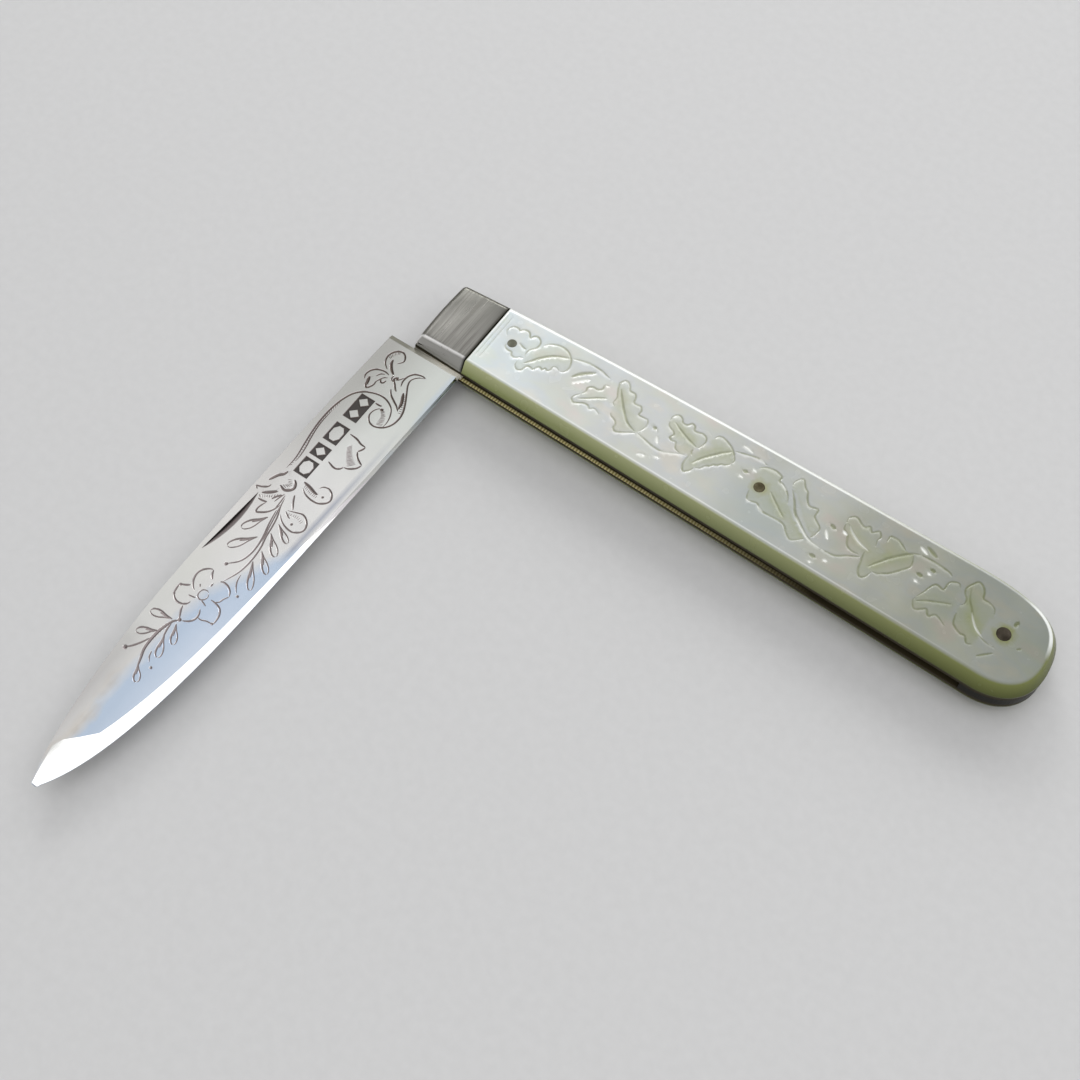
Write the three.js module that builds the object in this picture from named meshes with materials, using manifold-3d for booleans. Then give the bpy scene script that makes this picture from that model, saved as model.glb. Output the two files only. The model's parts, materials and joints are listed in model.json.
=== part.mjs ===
// A folding fruit knife with a silver blade, brass liners and pearl scales, half open on its half stop.
// Millimetres. +X runs from the pivot end to the butt, +Y to the back of the handle and +Z up.
// The origin lies on the lower flat side, at the middle of the handle's length.
import * as THREE from "three";
import { mergeVertices } from "three/addons/utils/BufferGeometryUtils.js";
import Module from "manifold-3d";

// Handle outline, seen from above. The half widths are measured from the line of the pins.
const handleLength = 86.5;
const frontCrown = 0.25;
const frontTrim = 0.4;
const backAtFront = 5.35;
const backAtButt = 7.0;
const backShoulder = 7.1;
const backShoulderFromFront = 25;
const backEndFromButt = 12.3;
const slotSideAtFront = 5.6;
const slotSideAtButt = 7.1;
const slotSideEndFromButt = 6.8;
const slotSideSwell = 0.1;
const buttMiddle = -1;
const buttSlotRound = 4;
const buttBackRound = 5.6;
const buttBackReach = 2.6;

// Handle section, from the lower flat side to the upper one.
const scaleThickness = 2;
const linerThickness = 0.5;
const slotWidth = 1.3;
const bevelWidth = 0.97;
const bevelLand = 0.25;
const bolsterLength = 7.4;
const bolsterFall = 0.35;
const seamGap = 0.04;

// Slip joint. The tang is a square block whose flats rest on the nose of the spring.
const tangHalf = 3.65;
const tangCornerRadius = 2.2;
const shoulderGap = 0.1;
const springGap = 0.05;
const pivotPinRadius = 1.1;
const pivotClearance = 0.05;

// Blade, measured along its length from the shoulder and across it from the pivot.
const bladeLength = 70.6;
const bladeThickness = 1.1;
const tipThickness = 0.6;
const pointLength = 30.3;
const pointTurnShare = 0.4;
const pointPullShare = 0.8;
const spineAtShoulder = 7.26;
const spineAtPoint = 7.55;
const spineFullness = 7.8;
const edgeAtShoulder = 3.55;
const edgeAtPoint = 2.92;
const edgeFullness = 3.5;
const spinePointPull = 5.9;
const edgePointPull = 1.35;
const tipOffset = 3;
const tipRadius = 0.5;
const edgeThickness = 0.16;
const edgeBevelAtShoulder = 0.5;
const edgeBevelAtTip = 2.4;
const edgeBevelGrowth = 3;
const edgeBevelMostShare = 0.9;
const tipFacetStart = 9;
const tipFacetEnd = 3.5;
const shoulderChamferLength = 0.6;
const shoulderChamferDepth = 0.22;
const shoulderCoreThickness = 0.44;
const shoulderCoreReach = 1.2;

// Nail nick, cut with the conical rim of a wheel.
const nickLength = 10;
const nickWidth = 0.9;
const nickDepth = 0.34;
const nickFromShoulder = 32.8;
const nickFromPivotLine = 6.75;
const nickTurn = 3.6;

// Back spring: its nose at the tang, a tapered leaf and a block at the butt.
const springNoseLength = 5.6;
const springReliefLength = 6.6;
const springReliefPull = 2.2;
const springInnerEdge = 3.5;
const springLeafEndFromButt = 23;
const tipPocketGap = 1;
const tipPocketDepth = 4.4;
const tipPocketPull = 1.75;

// Pins that hold the scales, the spring and the butt.
const pinFit = 0.03;
const frontPinRadius = 0.6;
const frontPinFromSeam = 3.5;
const frontPinSetBack = 0.55;
const centrePinRadius = 0.68;
const centrePinFromButt = 39.2;
const centrePinSetBack = 0.47;
const endPinRadius = 0.85;
const endPinFromButt = 6.4;
const endPinSetBack = -0.1;
const springPinRadius = 0.8;
const springPinFromButt = 46;
const springPinSetBack = 5.2;

// Fineness of the curves, and the overrun of a cut past the surface it opens.
const curveSteps = 20;
const straightSteps = 8;
const frontSteps = 6;
const tipSteps = 6;
const pinSides = 28;
const wheelSides = 200;
const overrun = 2;
const mergeDistance = 1e-4;

// Places that follow from the sizes.
const frontX = -handleLength / 2;
const buttX = handleLength / 2;
const seamX = frontX + bolsterLength;
const pivotX = frontX + tangHalf - shoulderGap;
const pivotY = tangHalf - slotSideAtFront - shoulderGap;
const handleThickness = 2 * scaleThickness + 2 * linerThickness + slotWidth;
const middleZ = handleThickness / 2;
const lowerLinerZ = scaleThickness;
const slotBottomZ = lowerLinerZ + linerThickness;
const slotTopZ = slotBottomZ + slotWidth;
const upperScaleZ = slotTopZ + linerThickness;
const bevelHeight = scaleThickness - bevelLand;

const silver = { color: 0xd2cfc7, metalness: 1, roughness: 0.22 };
const brushedSilver = { color: 0xb5b1a6, metalness: 1, roughness: 0.38 };
const pearl = { color: 0xe3e6e2, metalness: 0, roughness: 0.28 };
const brass = { color: 0xb39a56, metalness: 1, roughness: 0.35 };
const springMetal = { color: 0xa3a19a, metalness: 1, roughness: 0.35 };
const pinMetal = { color: 0x77746b, metalness: 1, roughness: 0.45 };

const wasm = await Module();
wasm.setup();

// A closed geometry as a solid that can be joined and cut.
function solidOf(geometry) {
  const bare = geometry.clone();
  bare.deleteAttribute("normal");
  bare.deleteAttribute("uv");
  const merged = mergeVertices(bare, mergeDistance);
  return new wasm.Manifold(
    new wasm.Mesh({
      numProp: 3,
      vertProperties: merged.attributes.position.array,
      triVerts: new Uint32Array(merged.index.array),
    }),
  );
}

function geometryOf(solid) {
  const mesh = solid.getMesh();
  const geometry = new THREE.BufferGeometry();
  geometry.setAttribute("position", new THREE.BufferAttribute(mesh.vertProperties, 3));
  geometry.setIndex(new THREE.BufferAttribute(mesh.triVerts, 1));
  geometry.computeVertexNormals();
  return geometry;
}

function box(lowX, highX, lowZ, highZ) {
  const depthY = 2 * (backShoulder + slotSideAtButt) + 2 * overrun;
  const geometry = new THREE.BoxGeometry(highX - lowX, depthY, highZ - lowZ);
  geometry.translate((lowX + highX) / 2, 0, (lowZ + highZ) / 2);
  return solidOf(geometry);
}

function rod(x, y, radius, lowZ, highZ) {
  const geometry = new THREE.CylinderGeometry(radius, radius, highZ - lowZ, pinSides);
  geometry.rotateX(Math.PI / 2);
  geometry.translate(x, y, (lowZ + highZ) / 2);
  return solidOf(geometry);
}

function extruded(shape, lowZ, highZ) {
  const options = { depth: highZ - lowZ, bevelEnabled: false, curveSegments: curveSteps };
  const geometry = new THREE.ExtrudeGeometry(shape, options);
  geometry.translate(0, 0, lowZ);
  return solidOf(geometry);
}

// The outline that the liners, the spring, the bolsters and the scales share: nearly straight along the slot,
// fuller along the back and rounder at the back corner of the butt.
function handleOutline() {
  const endX = frontX - frontTrim;
  const cornerX = endX + frontCrown;
  const slotEndX = buttX - slotSideEndFromButt;
  const backEndX = buttX - backEndFromButt;
  const outline = new THREE.Shape();
  outline.moveTo(cornerX, -slotSideAtFront);
  outline.lineTo(slotEndX, -slotSideAtButt);
  outline.bezierCurveTo(
    slotEndX + buttSlotRound, -slotSideAtButt - slotSideSwell,
    buttX, buttMiddle - buttSlotRound,
    buttX, buttMiddle,
  );
  outline.bezierCurveTo(
    buttX, buttMiddle + buttBackRound,
    buttX - buttBackReach, backAtButt,
    backEndX, backAtButt,
  );
  outline.quadraticCurveTo(frontX + backShoulderFromFront, backShoulder, cornerX, backAtFront);
  const front = new THREE.QuadraticBezierCurve(
    new THREE.Vector2(cornerX, backAtFront),
    new THREE.Vector2(endX - frontCrown, (backAtFront - slotSideAtFront) / 2),
    new THREE.Vector2(cornerX, -slotSideAtFront),
  );
  front.getPoints(frontSteps).slice(1, -1).forEach((point) => outline.lineTo(point.x, point.y));
  outline.closePath();
  return outline;
}

// The whole handle as filed to shape: bevelled round both flat sides, and falling a little to the front end.
// The front bevel is the narrowest, because the end is trimmed square after bevelling.
function filedHandle() {
  const geometry = new THREE.ExtrudeGeometry(handleOutline(), {
    depth: handleThickness - 2 * bevelHeight,
    bevelThickness: bevelHeight,
    bevelSize: bevelWidth,
    bevelOffset: -bevelWidth,
    bevelSegments: 1,
    curveSegments: curveSteps,
  });
  geometry.translate(0, 0, bevelHeight);
  const upperWedge = frontWedge();
  const lowerWedge = frontWedge().translate(0, 0, -middleZ).rotateX(Math.PI).translate(0, 0, middleZ);
  const square = box(frontX, buttX + overrun, -overrun, handleThickness + overrun);
  return solidOf(geometry).subtract(solidOf(upperWedge)).subtract(solidOf(lowerWedge)).intersect(square);
}

// The sliver above the slope that runs from the seam down to the front end.
function frontWedge() {
  const slope = bolsterFall / bolsterLength;
  const endX = frontX - overrun;
  const width = 2 * (backShoulder + slotSideAtButt);
  const wedge = new THREE.Shape();
  wedge.moveTo(seamX, handleThickness);
  wedge.lineTo(seamX, handleThickness + overrun);
  wedge.lineTo(endX, handleThickness + overrun);
  wedge.lineTo(endX, handleThickness - slope * (seamX - endX));
  const geometry = new THREE.ExtrudeGeometry(wedge, { depth: width, bevelEnabled: false });
  geometry.translate(0, 0, -width / 2);
  geometry.rotateX(Math.PI / 2);
  return geometry;
}

const handle = filedHandle();

function layer(lowX, highX, lowZ, highZ) {
  return handle.intersect(box(lowX, highX, lowZ, highZ));
}

function fullLayer(lowZ, highZ) {
  return layer(frontX - overrun, buttX + overrun, lowZ, highZ);
}

const pivot = { x: pivotX, y: pivotY, radius: pivotPinRadius };
const frontPin = { x: seamX + frontPinFromSeam, y: frontPinSetBack, radius: frontPinRadius };
const centrePin = { x: buttX - centrePinFromButt, y: centrePinSetBack, radius: centrePinRadius };
const endPin = { x: buttX - endPinFromButt, y: endPinSetBack, radius: endPinRadius };
const springPin = { x: buttX - springPinFromButt, y: springPinSetBack, radius: springPinRadius };

function drilled(solid, pins) {
  return pins.reduce(
    (left, pin) => left.subtract(rod(pin.x, pin.y, pin.radius + pinFit, -overrun, handleThickness + overrun)),
    solid,
  );
}

// A pin filed flush with the handle wherever it comes to the surface.
function flushPin(pin, lowZ, highZ) {
  return rod(pin.x, pin.y, pin.radius, lowZ, highZ).intersect(handle);
}

// The open part of the slot: under the spring's nose, under its leaf and round the point of the closed blade.
function slotSpace() {
  const noseY = pivotY + tangHalf + springGap;
  const noseEndX = frontX + springNoseLength;
  const leafStartX = noseEndX + springReliefLength;
  const leafEndX = buttX - springLeafEndFromButt;
  const pocketX = pivotX + tangHalf + bladeLength + tipPocketGap;
  const outsideY = -slotSideAtButt - overrun;
  const space = new THREE.Shape();
  space.moveTo(frontX - overrun, noseY);
  space.lineTo(frontX - overrun, outsideY);
  space.lineTo(pocketX, outsideY);
  space.lineTo(pocketX, -tipPocketDepth);
  space.bezierCurveTo(
    pocketX, tipPocketPull,
    (leafEndX + pocketX) / 2, springInnerEdge,
    leafEndX, springInnerEdge,
  );
  space.lineTo(leafStartX, springInnerEdge);
  space.quadraticCurveTo(noseEndX + springReliefPull, springInnerEdge, noseEndX, noseY);
  return extruded(space, slotBottomZ - overrun, slotTopZ + overrun);
}

// A closed solid through rings that have as many points each, in order from end to end.
function loft(rings) {
  const sides = rings[0].length;
  const corners = rings.flat().flatMap((corner) => corner.toArray());
  const index = [];
  for (let ring = 0; ring + 1 < rings.length; ring++) {
    for (let side = 0; side < sides; side++) {
      const here = ring * sides + side;
      const next = ring * sides + ((side + 1) % sides);
      index.push(here, here + sides, next, next, here + sides, next + sides);
    }
  }
  const last = (rings.length - 1) * sides;
  for (let side = 1; side + 1 < sides; side++) {
    index.push(0, side, side + 1);
    index.push(last, last + side + 1, last + side);
  }
  const geometry = new THREE.BufferGeometry();
  geometry.setAttribute("position", new THREE.Float32BufferAttribute(corners, 3));
  geometry.setIndex(index);
  return geometry;
}

// One side of the blade as curves of offset against distance from the shoulder: nearly straight,
// then to the point, where it runs into the round tip.
function bladeSide(atShoulder, fullness, atPoint, pointPull, atTip) {
  const straight = bladeLength - pointLength;
  const turnLength = pointTurnShare * pointLength;
  const turn = atPoint + ((atPoint - fullness) / (straight / 2)) * turnLength;
  const side = new THREE.CurvePath();
  side.add(
    new THREE.QuadraticBezierCurve(
      new THREE.Vector2(atShoulder, 0),
      new THREE.Vector2(fullness, straight / 2),
      new THREE.Vector2(atPoint, straight),
    ),
  );
  side.add(
    new THREE.CubicBezierCurve(
      new THREE.Vector2(atPoint, straight),
      new THREE.Vector2(turn, straight + turnLength),
      new THREE.Vector2(pointPull, straight + pointPullShare * pointLength),
      new THREE.Vector2(atTip, bladeLength - tipRadius),
    ),
  );
  return side.curves;
}

function thicknessAt(distance) {
  return THREE.MathUtils.lerp(bladeThickness, tipThickness, distance / bladeLength);
}

// The width of the bevel ground along the cutting edge. Over the point it sweeps across to the spine.
function bevelAt(width, distance) {
  const along = (distance / bladeLength) ** edgeBevelGrowth;
  const straight = THREE.MathUtils.lerp(edgeBevelAtShoulder, edgeBevelAtTip, along);
  const sweep = THREE.MathUtils.smoothstep(distance, bladeLength - tipFacetStart, bladeLength - tipFacetEnd);
  return Math.min(THREE.MathUtils.lerp(straight, width, sweep), edgeBevelMostShare * width);
}

// A ring across the blade: two faces, the ground bevels along the cutting edge and the flat spine.
function bladeRing(spine, edge, distance, thickness) {
  const bevel = bevelAt(edge - spine, distance);
  const y = -tangHalf - distance;
  const halfEdge = edgeThickness / 2;
  const half = thickness / 2;
  return [
    new THREE.Vector3(spine, y, half),
    new THREE.Vector3(edge - bevel, y, half),
    new THREE.Vector3(edge, y, halfEdge),
    new THREE.Vector3(edge, y, -halfEdge),
    new THREE.Vector3(edge - bevel, y, -half),
    new THREE.Vector3(spine, y, -half),
  ];
}

function bladeBody() {
  const spineTip = -tipOffset - tipRadius;
  const edgeTip = -tipOffset + tipRadius;
  const spineSide = bladeSide(-spineAtShoulder, -spineFullness, -spineAtPoint, -spinePointPull, spineTip);
  const edgeSide = bladeSide(edgeAtShoulder, edgeFullness, edgeAtPoint, edgePointPull, edgeTip);
  const heelThickness = bladeThickness - 2 * shoulderChamferDepth;
  const rings = [bladeRing(-spineAtShoulder, edgeAtShoulder, 0, heelThickness)];
  const chamferEnd = shoulderChamferLength;
  rings.push(bladeRing(-spineAtShoulder, edgeAtShoulder, chamferEnd, thicknessAt(chamferEnd)));
  const steps = [straightSteps, curveSteps];
  steps.forEach((count, part) => {
    for (let step = 1; step <= count; step++) {
      const along = 1 - (1 - step / count) ** 2;
      const spine = spineSide[part].getPoint(along);
      const edge = edgeSide[part].getPoint(along);
      rings.push(bladeRing(spine.x, edge.x, spine.y, thicknessAt(spine.y)));
    }
  });
  for (let step = 1; step < tipSteps; step++) {
    const angle = (step / tipSteps) * (Math.PI / 2);
    const reach = tipRadius * Math.cos(angle);
    const distance = bladeLength - tipRadius + tipRadius * Math.sin(angle);
    rings.push(bladeRing(-tipOffset - reach, -tipOffset + reach, distance, thicknessAt(distance)));
  }
  return solidOf(loft(rings));
}

// The square tang: three flats for closed, half open and open, with the corners between them rounded.
function tang() {
  const corner = tangHalf - tangCornerRadius;
  const shape = new THREE.Shape();
  shape.moveTo(-tangHalf, -tangHalf);
  shape.lineTo(tangHalf, -tangHalf);
  shape.lineTo(tangHalf, corner);
  shape.absarc(corner, corner, tangCornerRadius, 0, Math.PI / 2, false);
  shape.lineTo(-corner, tangHalf);
  shape.absarc(-corner, corner, tangCornerRadius, Math.PI / 2, Math.PI, false);
  return extruded(shape, -bladeThickness / 2, bladeThickness / 2);
}

// The core that carries the tang into the chamfered shoulder of the blade.
function shoulderCore() {
  const width = 2 * (edgeAtShoulder - edgeBevelAtShoulder);
  const core = new THREE.BoxGeometry(width, 2 * shoulderCoreReach, shoulderCoreThickness);
  core.translate(0, -tangHalf, 0);
  return solidOf(core);
}

// The wheel that cuts the nick: its flat side makes the steep wall, its conical rim the sloping floor.
function nickWheel() {
  const wheelRadius = (nickLength ** 2 / 4 + nickDepth ** 2) / (2 * nickDepth);
  const farRadius = wheelRadius - 2 * nickDepth;
  const wheel = new THREE.CylinderGeometry(farRadius, wheelRadius, 2 * nickWidth, wheelSides);
  const faceZ = thicknessAt(nickFromShoulder) / 2;
  wheel.translate(0, nickWidth, 0);
  wheel.rotateZ(-Math.PI / 2 + THREE.MathUtils.degToRad(-nickTurn));
  wheel.translate(-nickFromPivotLine, -tangHalf - nickFromShoulder, faceZ + wheelRadius - nickDepth);
  return solidOf(wheel);
}

function blade() {
  const bore = rod(0, 0, pivotPinRadius + pivotClearance, -overrun, overrun);
  return tang().add(shoulderCore()).add(bladeBody()).subtract(bore).subtract(nickWheel());
}

const knife = new THREE.Group();

function addPiece(parent, name, solid, look) {
  const material = new THREE.MeshStandardMaterial({ ...look, flatShading: true });
  const mesh = new THREE.Mesh(geometryOf(solid), material);
  mesh.name = name;
  parent.add(mesh);
}

const scalePins = [frontPin, centrePin, endPin];
const linerPins = [pivot, ...scalePins, springPin];
const scaleFrontX = seamX + seamGap;
const lowEnd = -overrun;
const highEnd = handleThickness + overrun;

addPiece(knife, "lower_liner", drilled(fullLayer(lowerLinerZ, slotBottomZ), linerPins), brass);
addPiece(knife, "upper_liner", drilled(fullLayer(slotTopZ, upperScaleZ), linerPins), brass);

const springBlank = fullLayer(slotBottomZ, slotTopZ).subtract(slotSpace());
addPiece(knife, "back_spring", drilled(springBlank, [springPin, endPin]), springMetal);

const lowerBolster = layer(frontX - overrun, seamX, lowEnd, lowerLinerZ);
const upperBolster = layer(frontX - overrun, seamX, upperScaleZ, highEnd);
addPiece(knife, "lower_bolster", drilled(lowerBolster, [pivot]), brushedSilver);
addPiece(knife, "upper_bolster", drilled(upperBolster, [pivot]), brushedSilver);

const lowerScale = layer(scaleFrontX, buttX + overrun, lowEnd, lowerLinerZ);
const upperScale = layer(scaleFrontX, buttX + overrun, upperScaleZ, highEnd);
addPiece(knife, "lower_scale", drilled(lowerScale, scalePins), pearl);
addPiece(knife, "upper_scale", drilled(upperScale, scalePins), pearl);

addPiece(knife, "pivot_pin", flushPin(pivot, lowEnd, highEnd), brushedSilver);
addPiece(knife, "spring_pin", flushPin(springPin, lowerLinerZ, upperScaleZ), pinMetal);
addPiece(knife, "end_pin", flushPin(endPin, lowEnd, highEnd), pinMetal);
addPiece(knife, "lower_front_pin", flushPin(frontPin, lowEnd, slotBottomZ), pinMetal);
addPiece(knife, "upper_front_pin", flushPin(frontPin, slotTopZ, highEnd), pinMetal);
addPiece(knife, "lower_centre_pin", flushPin(centrePin, lowEnd, slotBottomZ), pinMetal);
addPiece(knife, "upper_centre_pin", flushPin(centrePin, slotTopZ, highEnd), pinMetal);

// The blade turns about the pivot pin, in the middle of the slot.
const bladeGroup = new THREE.Group();
bladeGroup.position.set(pivotX, pivotY, middleZ);
addPiece(bladeGroup, "blade", blade(), silver);
knife.add(bladeGroup);

export default knife;
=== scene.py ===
"""Looks for the folding fruit knife: engraved silver blade, brushed bolsters and carved pearl scales.

The frame is in metres. The ornament is written in millimetres: on the blade as distance from the pivot and
offset towards the edge, on the handle as x and y of the frame.
"""
import json
import math

import bmesh
import bpy
import numpy as np
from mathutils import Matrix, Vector
from mathutils.geometry import delaunay_2d_cdt
from mathutils.kdtree import KDTree


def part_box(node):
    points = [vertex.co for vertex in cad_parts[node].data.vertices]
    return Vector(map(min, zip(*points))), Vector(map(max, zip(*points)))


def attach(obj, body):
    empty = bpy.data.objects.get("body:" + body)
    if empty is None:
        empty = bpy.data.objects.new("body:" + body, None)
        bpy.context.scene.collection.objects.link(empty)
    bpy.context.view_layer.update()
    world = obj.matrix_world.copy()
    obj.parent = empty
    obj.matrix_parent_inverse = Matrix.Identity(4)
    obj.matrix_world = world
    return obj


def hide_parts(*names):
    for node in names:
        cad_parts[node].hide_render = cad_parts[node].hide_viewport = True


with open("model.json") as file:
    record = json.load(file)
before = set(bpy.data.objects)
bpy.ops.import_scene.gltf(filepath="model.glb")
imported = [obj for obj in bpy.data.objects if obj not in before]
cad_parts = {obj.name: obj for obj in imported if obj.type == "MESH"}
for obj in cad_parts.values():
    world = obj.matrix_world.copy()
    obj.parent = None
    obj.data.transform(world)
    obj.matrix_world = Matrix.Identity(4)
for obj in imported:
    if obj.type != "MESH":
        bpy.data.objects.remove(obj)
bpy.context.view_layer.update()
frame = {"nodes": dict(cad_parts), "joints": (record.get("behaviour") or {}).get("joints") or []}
nodes = frame["nodes"]

MM = 0.001
pivot = Vector(frame["joints"][0]["pos_m"]) / MM
handle_low, handle_high = (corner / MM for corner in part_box("lower_liner"))
flat_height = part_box("upper_scale")[1].z / MM
middle_height = pivot.z
seam_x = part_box("upper_scale")[0].x / MM
pin_boxes = [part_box(name) for name in ("upper_front_pin", "upper_centre_pin", "end_pin")]
pin_places = [((low.x + high.x) / 2 / MM, (low.y + high.y) / 2 / MM) for low, high in pin_boxes]
pin_radii = [(high.x - low.x) / 2 / MM for low, high in pin_boxes]

# Camera, fitted to the photograph.
CAMERA_PLACE = (0.0334, -0.0875, 0.16276)
CAMERA_TARGET = (-0.01436, -0.01908, 0.00315)
CAMERA_LENS = 50
CAMERA_SENSOR = 36
CAMERA_NEAREST = 0.005

# Rounding of the worked edges, in millimetres.
SCALE_RIM = 0.42
SCALE_LAND = 0.12
BOLSTER_RIM = 0.42
BOLSTER_SEAM = 0.06
ROUND_STEPS = 4
SHARP_DEGREES = 20

# Meshes: vertices this near are joined, faces bent this little are whole, faces are in a plane when they lie
# this much alike and this near to it, and points of a flat this near are one.
JOIN_WITHIN = 1e-3
FLAT_DEGREES = 0.3
SAME_LIE = 0.999998
SAME_LEVEL = 0.01
PLAN_SLACK = 1e-4
TINY = 1e-12

# Cuts: half widths in millimetres, and depth as a share of the half width.
HATCH = 0.06
FINE = 0.11
FULL = 0.15
HEAVY = 0.235
GRAVER_DEPTH = 0.7
GRAVER_STEP = 0.12
CARVER_LINE = 0.21
CARVER_RIB = 0.27
CARVER_GOUGE = 0.3
CARVER_GLEAM = 0.24
CARVER_SHADED_GOUGE = 0.36
RIB_SHADE = 1.3
CARVER_DEPTH = 0.5
CARVER_STEP = 0.16
SAMPLES_PER_STEP = 6
PUNCH_DEPTH = 0.1
PUNCH_WALL = 0.12
PUNCH_BOSS_SHARES = {4: 0.84, 8: 0.88}
LEAST_DEPTH = 0.004
CUT_TAPER = 0.35
END_GUARD = 0.08

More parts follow.
